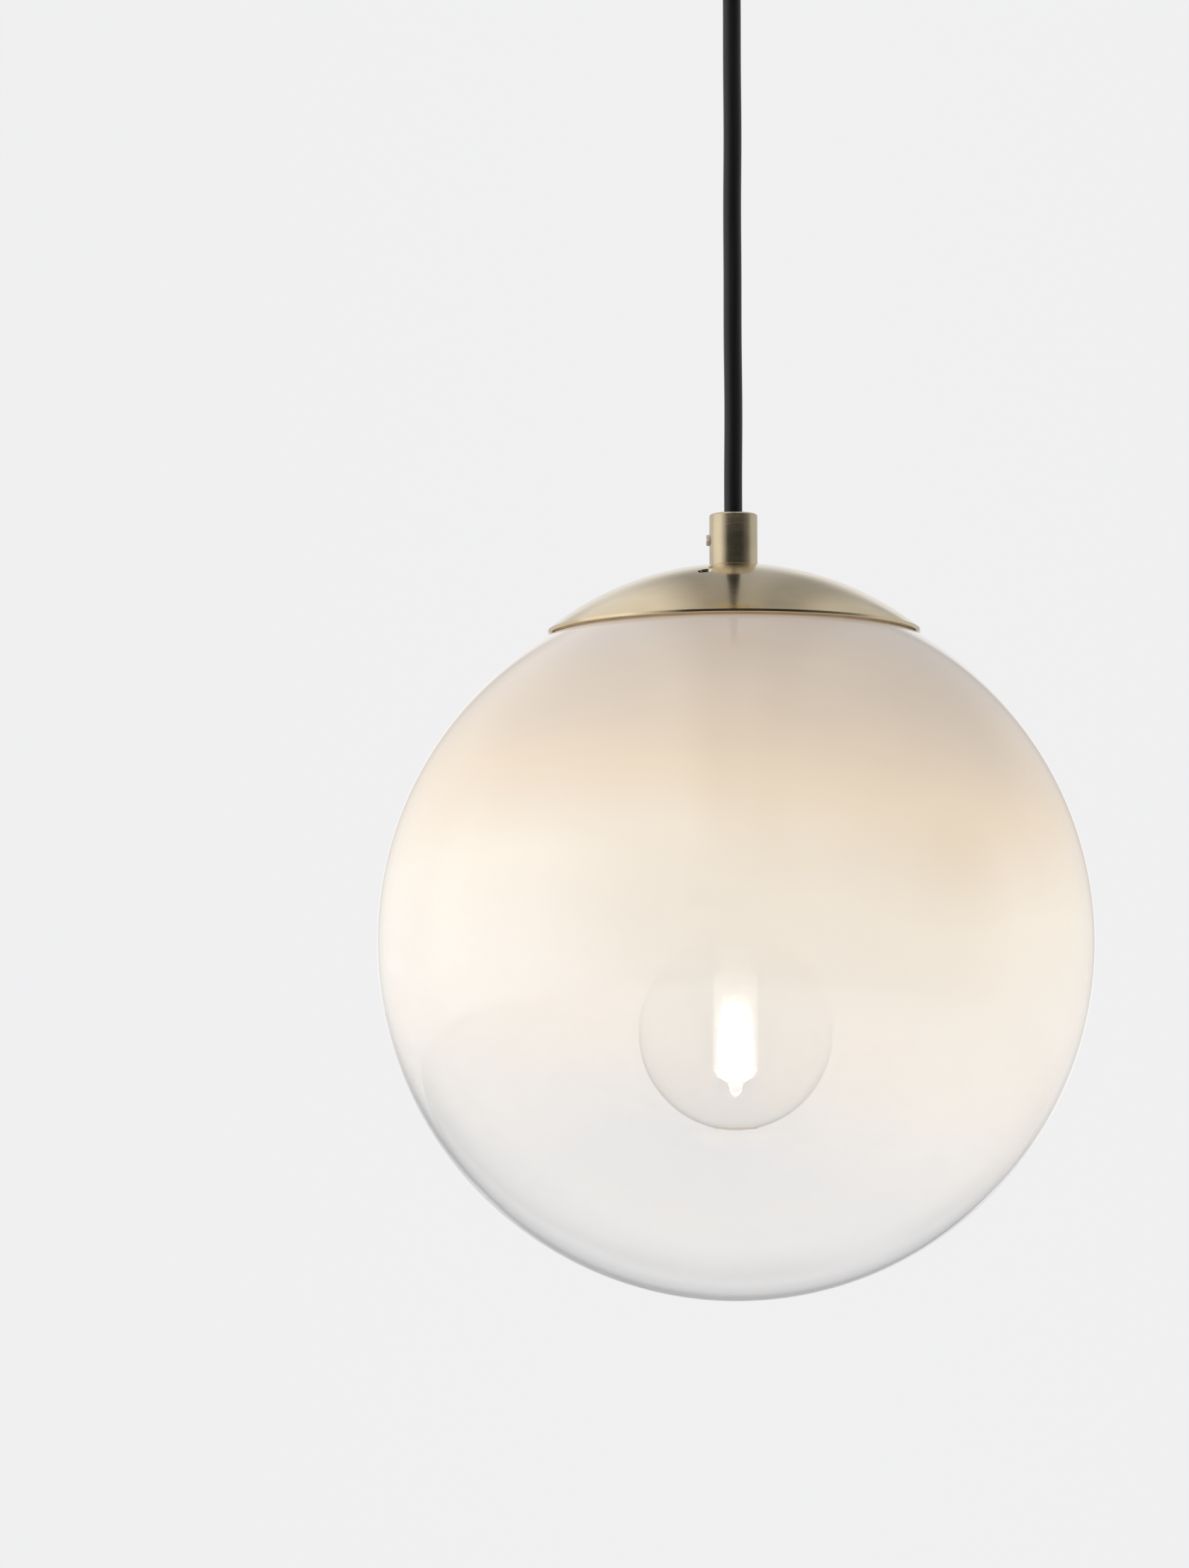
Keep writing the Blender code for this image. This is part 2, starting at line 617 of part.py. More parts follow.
def make_terminal_block(frame):
    top = -BRACKET_SHEET - CLEARANCE
    middle = top - BLOCK_SIZE[2] / 2
    base = top - BLOCK_SIZE[2]
    screw_x = -BLOCK_SIZE[0] / 4
    block = box("terminal_block", BLOCK_SIZE, finish=WHITE_PLASTIC, rounding=BLOCK_ROUNDING)
    for y in way_offsets().values():
        drill(block, WIRE_HOLE_RADIUS, (0.0, y, 0.0), turn=(0.0, math.pi / 2, 0.0), sides=TINY)
        drill(block, TERMINAL_SCREW_RADIUS + CLEARANCE, (screw_x, y, 0.0),
              high=-CORE_RADIUS / 2, sides=TINY)
    drill(block, BLOCK_SCREW_RADIUS + CLEARANCE, (0.0, WAY_PITCH / 2, 0.0), sides=TINY)
    place(block, frame, (BLOCK_X, 0.0, middle))
    length = BLOCK_SIZE[2] + 2 * CLEARANCE + 0.6 * BRACKET_SHEET
    screw = headed_screw("block_screw", *BLOCK_SCREW_HEAD, BLOCK_SCREW_RADIUS, length, STEEL)
    place(screw, frame, (BLOCK_X, WAY_PITCH / 2, base - CLEARANCE))
    for i, y in enumerate(way_offsets().values(), start=1):
        tip = middle - CORE_RADIUS - CLEARANCE
        grub = grub_screw(f"terminal_screw_{i}", base, tip, PLAIN_BRASS)
        place(grub, frame, (BLOCK_X + screw_x, y, 0.0))
    return middle


def make_top_cores(frame, wire_z):
    face = BLOCK_X - BLOCK_SIZE[0] / 2
    start = TAIL_TOP + CLEARANCE
    for (name, y), angle in zip(way_offsets().items(), (-math.tau / 3, 0.0, math.tau / 3)):
        x, side = CORE_CIRCLE * math.cos(angle), CORE_CIRCLE * math.sin(angle)
        through = [
            Vector((x, side, start)),
            Vector((x, side, start + 0.0012)),
            Vector((x + 0.0016, side + 0.2 * (y - side), wire_z - 0.0008)),
            Vector((0.55 * face, side + 0.65 * (y - side), wire_z)),
            Vector((face, y, wire_z)),
            Vector((face + 0.6 * BLOCK_SIZE[0], y, wire_z)),
        ]
        place(wire(f"top_core_{name}", smooth_route(through, 14), CORE_RADIUS, CORE_COLOURS[name]),
              frame, (0.0, 0.0, 0.0))


# ---------------------------------------------------------------- cord
def straight_cord(name, top, bottom, domed):
    """A stretch of cord about Z. A domed top turns in place over the stretch above it."""
    spacing = 2.5 * 2 * CORD_RADIUS
    count = max(2, round((top - bottom) / spacing) + 1)
    heights = [top + (bottom - top) * i / (count - 1) for i in range(count)]
    thins = [1.0] * count
    if domed:
        steps = [math.radians(a) for a in (4, 24, 46, 68)]
        heights = [top + CORD_RADIUS * math.cos(a) for a in steps] + heights
        thins = [math.sin(a) for a in steps] + thins
    return wire(name, [(0.0, 0.0, z) for z in heights], CORD_RADIUS, BLACK_PVC, 2, thins)


def make_cord(ceiling, link, hanging):
    place(straight_cord("cord_tail", TAIL_TOP, TAIL_END, False), ceiling)
    link_end = BEND_TWO_Z + CORD_RADIUS + CLEARANCE
    place(straight_cord("cord_link", BEND_ONE_Z, link_end, True), link)
    place(straight_cord("cord", BEND_TWO_Z, CORD_END, True), hanging)


# ---------------------------------------------------------------- dome, stem and spring clips
def make_dome(frame):
    place(cord_grip("cord_grip", BRUSHED_BRASS), frame, (0.0, 0.0, GRIP_Z))
    place(grip_screw("cord_grip_screw"), frame,
          (0.0, 0.0, GRIP_Z + GRIP_SCREW_HEIGHT), (0.0, -math.pi / 2, 0.0))
    dome = spun_cap("dome", DOME_RIM_RADIUS, DOME_RISE, DOME_SKIRT, DOME_LAND, POLISHED_BRASS)
    for angle in angles(VENT_COUNT, VENT_START):
        drill(dome, VENT_RADIUS, around(VENT_CIRCLE, angle, 0.0), sides=TINY * 2)
    place(dome, frame, (0.0, 0.0, DOME_Z))
    place(tube("stem", STEM_END, STEM_TOP, PLAIN_BRASS), frame)
    place(washer("stem_washer", STEEL), frame, (0.0, 0.0, STEM_WASHER_Z))
    low = CARRIER_Z + CLEARANCE
    place(nut("stem_nut", STEM_NUT_TOP - low, STEEL), frame, (0.0, 0.0, low))


def make_seal(frame):
    """The soft ring lies on the glass and fills the gap up to the dome."""
    low = [(r, GLOBE_Z + math.sqrt(GLOBE_RADIUS**2 - r * r) + CLEARANCE) for r in SEAL_RADII]
    high = [(r, DOME_Z - dome_inside(r) - 1.5 * CLEARANCE) for r in SEAL_RADII]
    place(turned("seal_ring", [high[1], low[1], low[0], high[0]], LARGE, SILICONE), frame)


def make_carrier(frame):
    carrier = prism("carrier", CARRIER_HUB, -CARRIER_SHEET, 0.0, SMALL, STEEL)
    for i, angle in enumerate(angles(3, CLIP_START)):
        length = CARRIER_REACH - CARRIER_HUB / 2
        arm = box(f"carrier_arm_{i}", (length, ARM_WIDTH, CARRIER_SHEET), group=CUTTERS)
        arm.parent = carrier
        arm.location = around(CARRIER_REACH - length / 2, angle, -CARRIER_SHEET / 2)
        arm.rotation_euler.z = angle
        join(carrier, arm)
    for angle in angles(3, CLIP_START):
        drill(carrier, RIVET_RADIUS + CLEARANCE, around(RIVET_CIRCLE, angle, 0.0), sides=TINY)
    drill(carrier, TUBE_HOLE, (0.0, 0.0, 0.0))
    place(carrier, frame, (0.0, 0.0, CARRIER_Z))
    place(nut("carrier_nut", NUT_HEIGHT, STEEL), frame, (0.0, 0.0, CARRIER_NUT_TOP - NUT_HEIGHT))


def make_clips(frame):
    """Each clip bends down from its arm, touches the mouth from inside and turns in below it."""
    reach = math.sqrt((MOUTH_RADIUS - CLEARANCE)**2 - (CLIP_WIDTH / 2)**2) - CLEARANCE
    under = -CARRIER_SHEET - CLEARANCE
    mouth = GLOBE_Z + math.sqrt((GLOBE_RADIUS - GLASS_WALL)**2 - MOUTH_RADIUS**2) - CARRIER_Z
    path = [
        (RIVET_CIRCLE - RIVET_INSET, under),
        (CARRIER_REACH - CLIP_BEND, under),
        (CARRIER_REACH + CLIP_BEND / 2, under - CLIP_BEND),
        (reach, mouth - CLIP_GRIP / 3),
        (reach, mouth - CLIP_GRIP),
        (reach - CLIP_TURN_IN, under - CLIP_LENGTH),
    ]
    for i, angle in enumerate(angles(3, CLIP_START), start=1):
        clip = strip(f"spring_clip_{i}", path, CLIP_WIDTH, CLIP_SHEET, STEEL)
        drill(clip, RIVET_RADIUS + CLEARANCE, (RIVET_CIRCLE, 0.0, 0.0), sides=TINY)
        place(clip, frame, (0.0, 0.0, CARRIER_Z), (0.0, 0.0, angle))
        head_radius, head_height = RIVET_HEAD
        tail_radius, tail_height = RIVET_TAIL
        below = -CARRIER_SHEET - CLIP_SHEET - 2 * CLEARANCE
        profile = [
            (0.0, CLEARANCE + head_height),
            (head_radius, CLEARANCE + head_height),
            (head_radius, CLEARANCE),
            (RIVET_RADIUS, CLEARANCE),
            (RIVET_RADIUS, below),
            (tail_radius, below),
            (tail_radius, below - tail_height),
            (0.0, below - tail_height),
        ]
        rivet = turned(f"clip_rivet_{i}", profile, TINY, STEEL)
        place(rivet, frame, around(RIVET_CIRCLE, angle, CARRIER_Z))


# ---------------------------------------------------------------- lampholder
def make_holder(frame):
    inner = HOLDER_RADIUS - HOLDER_WALL
    mouth = TIP_Z - HOLDER_MOUTH
    lip = CAP_RADIUS + 3 * CLEARANCE
    body = [
        (HOLDER_RADIUS, HOLDER_SPLIT), (HOLDER_RADIUS, mouth + HOLDER_CHAMFER),
        (HOLDER_RADIUS - HOLDER_CHAMFER, mouth),
        (lip, mouth), (lip, mouth + HOLDER_LIP), (inner, mouth + HOLDER_LIP), (inner, HOLDER_SPLIT),
    ]
    place(turned("holder_body", body, MEDIUM, BLACK_PLASTIC), frame)

    side_top = HOLDER_CAP_Z + HOLDER_CAP_SIDE
    boss_radius, boss_height = HOLDER_BOSS
    wall = HOLDER_CAP_WALL
    cap = [
        (TUBE_HOLE, BOSS_Z + boss_height), (boss_radius, BOSS_Z + boss_height), (boss_radius, BOSS_Z),
        (HOLDER_RADIUS, side_top), (HOLDER_RADIUS, HOLDER_CAP_Z), (HOLDER_RADIUS - wall, HOLDER_CAP_Z),
        (HOLDER_RADIUS - wall, side_top - wall), (boss_radius, BOSS_Z - wall), (TUBE_HOLE, BOSS_Z - wall),
    ]
    place(turned("holder_cap", cap, MEDIUM, BLACK_PLASTIC), frame)


def make_insulator(frame):
    outer = HOLDER_RADIUS - HOLDER_WALL - CLEARANCE
    bore = SHELL_RADIUS + CLEARANCE
    low = SHELL_END
    cup = [
        (0.0, CUP_TOP), (outer, CUP_TOP), (outer, low), (bore, low), (bore, CUP_CEILING), (0.0, CUP_CEILING),
    ]
    place(turned("holder_insulator", cup, MEDIUM, CERAMIC), frame)


def make_shell(frame):
    """The socket's thread, as rings that clear the bulb's cap, and the spring tongue over its contact."""
    high = CUP_CEILING - CLEARANCE
    inner = ringed(CAP_BORE + THREAD_RISE, SHELL_END, high, THREAD_RISE)
    outer = [(r + CAP_SHEET, z) for r, z in inner]
    place(turned("screw_shell", outer + inner[::-1], MEDIUM, PLAIN_BRASS), frame)
    top = TONGUE_ROOM - CLEARANCE - TONGUE_SHEET
    root = CONTACT_RADIUS + TONGUE_WIDTH
    path = [
        (0.7 * CONTACT_RADIUS, 2 * CLEARANCE), (0.0, CLEARANCE), (-0.4 * CONTACT_RADIUS, CLEARANCE),
        (-CONTACT_RADIUS, top), (-root, top),
    ]
    tongue = strip("centre_contact", path, TONGUE_WIDTH, TONGUE_SHEET, PLAIN_BRASS)
    place(tongue, frame, (0.0, 0.0, TIP_Z))


def make_terminals(frame):
    seat = CUP_TOP + CLEARANCE
    half = TERMINAL_SIZE / 2
    wire_depth = 0.6 * TERMINAL_SIZE
    for name, angle in zip(CONDUCTORS, angles(3, TERMINAL_START)):
        middle = around(TERMINAL_CIRCLE, angle, seat + half)
        terminal = box(f"holder_terminal_{name}", (TERMINAL_SIZE,) * 3, finish=PLAIN_BRASS,
                       rounding=TERMINAL_ROUNDING)
        drill(terminal, WIRE_HOLE_RADIUS, (0.0, 0.0, 0.0),
              low=half - wire_depth - 2 * CLEARANCE, sides=TINY)
        drill(terminal, TERMINAL_SCREW_RADIUS + CLEARANCE, (0.0, 0.0, 0.0),
              turn=(0.0, math.pi / 2, 0.0), low=WIRE_HOLE_RADIUS / 2, sides=TINY)
        place(terminal, frame, middle, (0.0, 0.0, angle))
        outer_end = -half - TERMINAL_SCREW_PROUD
        screw = grub_screw(f"holder_screw_{name}", outer_end, -CORE_RADIUS - CLEARANCE, STEEL)
        place(screw, frame, middle, (0.0, -math.pi / 2, angle))

        top = seat + TERMINAL_SIZE
        bend = STEM_END - 0.001
        radial = [
            (CORE_CIRCLE, STEM_TOP - 0.0002), (CORE_CIRCLE, (STEM_TOP + bend) / 2), (CORE_CIRCLE, bend),
            (0.45 * TERMINAL_CIRCLE, bend - 0.35 * (bend - top)), (0.93 * TERMINAL_CIRCLE, top + 0.002),
            (TERMINAL_CIRCLE, top - 0.0005), (TERMINAL_CIRCLE, top - wire_depth),
        ]
        through = [Vector(around(r, angle, z)) for r, z in radial]
        place(wire(f"core_{name}", smooth_route(through, 19), CORE_RADIUS, CORE_COLOURS[name]), frame)


# ---------------------------------------------------------------- globe
def make_globe(frame):
    inner = GLOBE_RADIUS - GLASS_WALL
    profile = [
        *arc(inner, -math.pi / 2, math.acos(MOUTH_RADIUS / inner), GLOBE_STEPS),
        *arc(GLOBE_RADIUS, math.acos(MOUTH_RADIUS / GLOBE_RADIUS), -math.pi / 2, GLOBE_STEPS),
    ]
    profile[0] = (0.0, -inner)
    profile[-1] = (0.0, -GLOBE_RADIUS)
    place(turned("glass_globe", profile, LARGE, GLASS), frame, (0.0, 0.0, GLOBE_Z))


# ---------------------------------------------------------------- bulb
def inset(points, wall):
    """The same outline moved a wall's thickness to its right-hand side."""
    moved = []
    for i, (r, z) in enumerate(points):
        before = points[max(i - 1, 0)]
        after = points[min(i + 1, len(points) - 1)]
        along = Vector((after[0] - before[0], after[1] - before[1])).normalized()
        moved.append((max(r + along.y * wall, 0.0), z - along.x * wall))
    return moved


def make_bulb_glass(frame):
    """Heights here are from the bulb's contact."""
    centre = BULB_RADIUS - BULB_LENGTH
    join_at = (BULB_RADIUS * math.sin(NECK_JOIN), centre + BULB_RADIUS * math.cos(NECK_JOIN))
    neck_end = -CAP_LENGTH - 0.001
    pull = 0.45 * (neck_end - join_at[1])
    along = (-math.cos(NECK_JOIN), math.sin(NECK_JOIN))
    outline = [
        (NECK_RADIUS, -CAP_LENGTH + 0.0115),
        *bezier((NECK_RADIUS, neck_end), (NECK_RADIUS, neck_end - pull),
                (join_at[0] + along[0] * pull, join_at[1] + along[1] * pull), join_at, NECK_STEPS),
        *arc(BULB_RADIUS, math.pi / 2 - NECK_JOIN, -math.pi / 2, BULB_STEPS, (0.0, centre))[1:],
    ]
    inside = inset(outline, BULB_WALL)
    outline[-1] = (0.0, -BULB_LENGTH)
    inside[-1] = (0.0, -BULB_LENGTH + BULB_WALL)
    inside[0] = (inside[0][0], outline[0][1])
    place(turned("bulb_glass", outline[::-1] + inside, MEDIUM, GLASS), frame, (0.0, 0.0, TIP_Z))


def make_bulb_cap(frame, foot):
    contact = [
        (0.0, 0.0), (0.6 * CONTACT_RADIUS, 0.0), (CONTACT_RADIUS, -0.5 * CONTACT_HEIGHT),
        (CONTACT_RADIUS, -CONTACT_HEIGHT), (0.0, -CONTACT_HEIGHT),
    ]
    place(turned("bulb_contact", contact, SMALL, STEEL), foot, (0.0, 0.0, TIP_Z))
    top = -CONTACT_HEIGHT - CLEARANCE
    wide = CAP_RADIUS - THREAD_RISE - CAP_SHEET - CLEARANCE
    base = top - VITRITE_HEIGHT
    vitrite = [
        (0.0, top), (CONTACT_RADIUS + 0.001, top), (wide, base + 0.0012), (wide, base), (0.0, base),
    ]
    place(turned("bulb_insulator", vitrite, SMALL, VITRITE), frame, (0.0, 0.0, TIP_Z))
    shell_top = base + 0.0008
    outer = ringed(CAP_RADIUS, -CAP_LENGTH + 0.003, shell_top, THREAD_RISE)
    foot_radius = CAP_RADIUS - THREAD_RISE
    bore = wide + CLEARANCE
    shell = [*outer, (foot_radius, -CAP_LENGTH), (bore, -CAP_LENGTH), (bore, shell_top)]
    place(turned("bulb_cap", shell, MEDIUM, PLAIN_BRASS), frame, (0.0, 0.0, TIP_Z))


def make_bulb_inside(frame):
    """The glass mount in the neck, and the quartz capsule that hangs from it. Heights from the contact."""
    flare_top = -CAP_LENGTH + 0.0085
    flare = NECK_RADIUS - BULB_WALL - CLEARANCE
    pinch_top = -CAPSULE_TOP + PINCH_SIZE[2]
    mount_end = pinch_top + MOUNT_ROOM
    mount = [
        (0.0, flare_top - 0.002), (flare - 0.001, flare_top), (flare, flare_top - 0.0012),
        (1.3 * MOUNT_ROD, flare_top - 0.006), (MOUNT_ROD, flare_top - 0.010), (MOUNT_ROD, mount_end),
        (0.0, mount_end),
    ]
    place(turned("bulb_mount", mount, SMALL, GLASS), frame, (0.0, 0.0, TIP_Z))
    for i, side in enumerate((-1, 1), start=1):
        through = [
            Vector((side * 0.5 * LEAD_OFFSET, 0.0, mount_end - CLEARANCE)),
            Vector((side * 0.6 * LEAD_OFFSET, 0.0, mount_end - 0.0014)),
            Vector((side * LEAD_OFFSET, 0.0, pinch_top + 0.0018)),
            Vector((side * LEAD_OFFSET, 0.0, pinch_top + CLEARANCE)),
        ]
        lead = wire(f"lead_{i}", smooth_route(through, 8), LEAD_RADIUS, STEEL)
        place(lead, frame, (0.0, 0.0, TIP_Z))

    pinch = box("capsule_pinch", PINCH_SIZE, finish=GLASS, rounding=0.0008)
    neck = prism("pinch_neck", PINCH_NECK - CLEARANCE, *PINCH_NECK_SPAN, SMALL, group=CUTTERS)
    neck.parent = pinch
    join(pinch, neck)
    place(pinch, frame, (0.0, 0.0, TIP_Z - CAPSULE_TOP + PINCH_SIZE[2] / 2))


def make_capsule(frame):
    """The quartz tube, open at the top round its pinch, closed below by a drawn tip."""
    shoulder = 0.0016
    end = -CAPSULE_LENGTH
    outer = [
        (PINCH_NECK, -CLEARANCE), (CAPSULE_RADIUS - shoulder, -CLEARANCE),
        (CAPSULE_RADIUS, -CLEARANCE - shoulder), (CAPSULE_RADIUS, end + 2 * shoulder),
        (CAPSULE_RADIUS - shoulder, end), (0.34 * CAPSULE_RADIUS, end - 0.4 * CAPSULE_TIP),
        (0.24 * CAPSULE_RADIUS, end - 0.85 * CAPSULE_TIP), (0.0, end - CAPSULE_TIP),
    ]
    wall = CAPSULE_WALL
    inner = [
        (0.0, end + wall), (CAPSULE_RADIUS - shoulder - wall, end + 1.5 * wall),
        (CAPSULE_RADIUS - wall, end + 2 * shoulder + wall),
        (CAPSULE_RADIUS - wall, -CLEARANCE - wall - shoulder), (PINCH_NECK, -CLEARANCE - wall),
    ]
    place(turned("capsule", inner + outer, SMALL, GLASS), frame, (0.0, 0.0, TIP_Z - CAPSULE_TOP))

    top = PINCH_NECK_SPAN[0] + PINCH_SIZE[2] / 2 - CLEARANCE
    bottom = end + CAPSULE_WALL + CLEARANCE
    middle = (top + bottom) / 2
    half = FILAMENT_LENGTH / 2
    rod = [
        (0.0, top), (LEAD_RADIUS, top), (LEAD_RADIUS, middle + half),
        (FILAMENT_RADIUS, middle + half - 0.001), (FILAMENT_RADIUS, middle - half + 0.001),
        (LEAD_RADIUS, middle - half), (LEAD_RADIUS, bottom), (0.0, bottom),
    ]
    place(turned("filament", rod, TINY, FILAMENT_GLOW), frame, (0.0, 0.0, TIP_Z - CAPSULE_TOP))


# ---------------------------------------------------------------- the light
def make_light():
    ceiling = body_frame("ceiling", 0.0)
    link = body_frame("first_bend", BEND_ONE_Z, ceiling)
    hanging = body_frame("second_bend", BEND_TWO_Z, link)
    head = body_frame("head", GRIP_TOP, hanging)
    globe = body_frame("globe", GLOBE_Z, head)
    foot = body_frame("bulb_foot", TIP_Z, head)
    bulb = body_frame("bulb", TIP_Z, foot)

    make_bracket(ceiling)
    make_canopy(ceiling)
    make_canopy_fixings(ceiling)
    make_top_cores(ceiling, make_terminal_block(ceiling))
    make_cord(ceiling, link, hanging)
    make_dome(head)
    make_seal(head)
    make_carrier(head)
    make_clips(head)
    make_holder(head)
    make_insulator(head)
    make_shell(head)
    make_terminals(head)
    make_globe(globe)
    make_bulb_cap(bulb, foot)
    make_bulb_glass(bulb)
    make_bulb_inside(bulb)
    make_capsule(bulb)


make_light()
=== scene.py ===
"""The looks of the pendant ceiling light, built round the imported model, in metres.

The light hangs from its canopy: black cord, brass grips, polished brass dome, and a blown globe that
fades from opal to clear round a lit halogen lamp.
"""

import math

import bmesh
import bpy
from mathutils import Matrix, Vector


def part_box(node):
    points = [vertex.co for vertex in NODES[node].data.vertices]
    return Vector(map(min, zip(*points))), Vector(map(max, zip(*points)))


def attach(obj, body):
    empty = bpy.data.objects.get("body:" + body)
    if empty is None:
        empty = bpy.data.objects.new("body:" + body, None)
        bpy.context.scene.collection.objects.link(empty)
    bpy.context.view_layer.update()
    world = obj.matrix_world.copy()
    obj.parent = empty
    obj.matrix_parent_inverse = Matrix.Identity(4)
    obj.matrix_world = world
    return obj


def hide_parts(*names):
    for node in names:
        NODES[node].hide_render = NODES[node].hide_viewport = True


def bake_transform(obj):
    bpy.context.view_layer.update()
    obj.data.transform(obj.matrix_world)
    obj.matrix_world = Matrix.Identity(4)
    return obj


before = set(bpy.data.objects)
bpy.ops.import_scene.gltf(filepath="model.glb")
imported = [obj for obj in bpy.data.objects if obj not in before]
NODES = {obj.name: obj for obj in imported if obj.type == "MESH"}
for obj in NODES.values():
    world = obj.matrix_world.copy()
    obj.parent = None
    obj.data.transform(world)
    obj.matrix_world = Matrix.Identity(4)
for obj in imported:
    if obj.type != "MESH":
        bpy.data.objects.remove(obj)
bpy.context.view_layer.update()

# ---------------------------------------------------------------- sizes, most of them read from the frame
CLEARANCE = 0.0003
SHEET = 0.0012                      # spun brass
FINE, ROUND, SMALL_ROUND = 192, 96, 48      # sides of a turned piece
SHARP = 35.0                        # degrees between two faces that a piece doesn't shade smooth


def span(node):
    """(lowest height, highest height, half width) of a CAD node."""
    low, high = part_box(node)
    return low.z, high.z, (high.x - low.x) / 2


GLOBE_LOW, _, GLOBE_RADIUS = span("glass_globe")
GLOBE_Z = GLOBE_LOW + GLOBE_RADIUS
MOUTH_RADIUS = 0.050
BULB_LOW, _, BULB_RADIUS = span("bulb_glass")
BULB_Z = BULB_LOW + BULB_RADIUS
TIP_Z = span("bulb_contact")[1]
DOME_LOW, DOME_HIGH, DOME_RADIUS = span("dome")
CANOPY_LOW, CANOPY_HIGH, CANOPY_RADIUS = span("canopy")
GRIP_LOW, GRIP_HIGH, GRIP_RADIUS = span("cord_grip")
TOP_GRIP_LOW, TOP_GRIP_HIGH, _ = span("canopy_grip")
LAND_RADIUS = 0.0115                # flat of the dome and the canopy, round their tubes
TUBE_HOLE = 0.0053
CORD_RADIUS = 0.00385
CORD_HOLE = CORD_RADIUS + CLEARANCE


# ---------------------------------------------------------------- camera
VIEW_DISTANCE = 1.40                # from the lens to the middle of the globe
LENS_RISE = -0.0355                 # of the lens above the middle of the globe
SENSOR = 36.0
FOCAL = 76.4
PITCH = math.radians(4.14)
YAW = math.radians(2.41)


def add_camera():
    data = bpy.data.cameras.new("camera")
    data.sensor_width = SENSOR
    data.lens = FOCAL
    camera = bpy.data.objects.new("camera", data)
    bpy.context.scene.collection.objects.link(camera)
    camera.location = (0.0, -VIEW_DISTANCE, GLOBE_Z + LENS_RISE)
    camera.rotation_euler = (math.pi / 2 + PITCH, 0.0, YAW)
    bpy.context.scene.camera = camera


add_camera()


# ---------------------------------------------------------------- node materials
USUAL = (0.3, 0.7)                  # most of a noise texture's values lie between these


def add_node(tree, kind, values=(), **settings):
    """A node with its settings, whose inputs are linked to sockets or set to values."""
    made = tree.nodes.new("ShaderNode" + kind)
    for key, value in settings.items():
        setattr(made, key, value)
    for key, value in dict(values).items():
        if isinstance(value, bpy.types.NodeSocket):
            tree.links.new(value, made.inputs[key])
        else:
            made.inputs[key].default_value = value
    return made


def add_ramp(tree, source, stops):
    """A colour ramp from (position, colour) stops."""
    made = add_node(tree, "ValToRGB", {"Fac": source})
    elements = made.color_ramp.elements
    while len(elements) < len(stops):
        elements.new(1.0)
    for element, (position, colour) in zip(elements, stops):
        element.position = position
        element.color = (*colour, 1.0)
    return made.outputs["Color"]


class Shader:
    """A Principled material and short ways to feed its sockets."""

    def __init__(self, name, **values):
        self.material = bpy.data.materials.new(name)
        self.material.use_nodes = True
        self.tree = self.material.node_tree
        self.main = self.tree.nodes["Principled BSDF"]
        self.output = self.tree.nodes["Material Output"]
        for key, value in values.items():
            self.main.inputs[key.replace("_", " ")].default_value = value

    def node(self, kind, values=(), **settings):
        return add_node(self.tree, kind, values, **settings)

    def link(self, source, key):
        self.tree.links.new(source, self.main.inputs[key])

    def place(self, scale=(1.0, 1.0, 1.0)):
        """The piece's own coordinates, stretched."""
        where = self.node("TexCoord").outputs["Object"]
        return self.node("Mapping", {"Vector": where, "Scale": scale}).outputs["Vector"]

    def noise(self, scale, detail=4.0, stretch=(1.0, 1.0, 1.0)):
        values = {"Vector": self.place(stretch), "Scale": scale, "Detail": detail}
        return self.node("TexNoise", values).outputs["Fac"]

    def ramp(self, source, low, high, from_low=0.0, from_high=1.0, smooth=False):
        kind = "SMOOTHSTEP" if smooth else "LINEAR"
        values = {"Value": source, "From Min": from_low, "From Max": from_high, "To Min": low,
                  "To Max": high}
        return self.node("MapRange", values, interpolation_type=kind).outputs["Result"]

    def spread(self, source, low, high):
        """A noise's usual range as values from low to high."""
        return self.ramp(source, low, high, *USUAL)

    def math(self, operation, a, b=0.0, clamp=False):
        made = self.node("Math", {0: a, 1: b}, operation=operation, use_clamp=clamp)
        return made.outputs[0]

    def colours(self, source, stops):
        return add_ramp(self.tree, source, stops)

    def mottle(self, source, dark, light, limits=USUAL):
        """Takes the base colour from dark to light along a noise."""
        self.link(self.colours(source, [*zip(limits, (dark, light))]), "Base Color")

    def bump(self, source, depth, strength=1.0):
        made = self.node("Bump", {"Height": source, "Distance": depth, "Strength": strength})
        self.link(made.outputs["Normal"], "Normal")

    def clear_to_lamps(self, share=1.0):
        """Lets lamplight through the glass, so that what is behind it is lit."""
        lamp_ray = self.node("LightPath").outputs["Is Shadow Ray"]
        share = self.math("MULTIPLY", lamp_ray, share)
        clear = self.node("BsdfTransparent")
        mix = self.node("MixShader", {0: share, 1: self.main.outputs[0], 2: clear.outputs[0]})
        self.tree.links.new(mix.outputs[0], self.output.inputs["Surface"])


def brass(name, dark, light, roughness, grain, grain_depth):
    """Lacquered brass with the fine rings that turning leaves, and faint handling marks."""
    made = Shader(name, Metallic=1.0, Coat_Weight=0.25, Coat_Roughness=0.08)
    rings = made.noise(1.0, 3.0, (grain * 0.02, grain * 0.02, grain))
    marks = made.noise(60.0, 5.0)
    made.mottle(marks, dark, light)
    rough = made.spread(marks, roughness * 0.85, roughness * 1.25)
    made.link(made.math("ADD", rough, made.spread(rings, -0.03, 0.03)), "Roughness")
    made.bump(rings, grain_depth)
    return made.material


def plain_metal(name, dark, light, roughness):
    """Plated or gilt metal with a dull, slightly cloudy skin."""
    made = Shader(name, Metallic=1.0)
    marks = made.noise(220.0, 5.0)
    made.mottle(marks, dark, light)
    made.link(made.spread(marks, roughness * 0.8, roughness * 1.3), "Roughness")
    made.bump(made.noise(2600.0, 2.0), 0.00002)
    return made.material


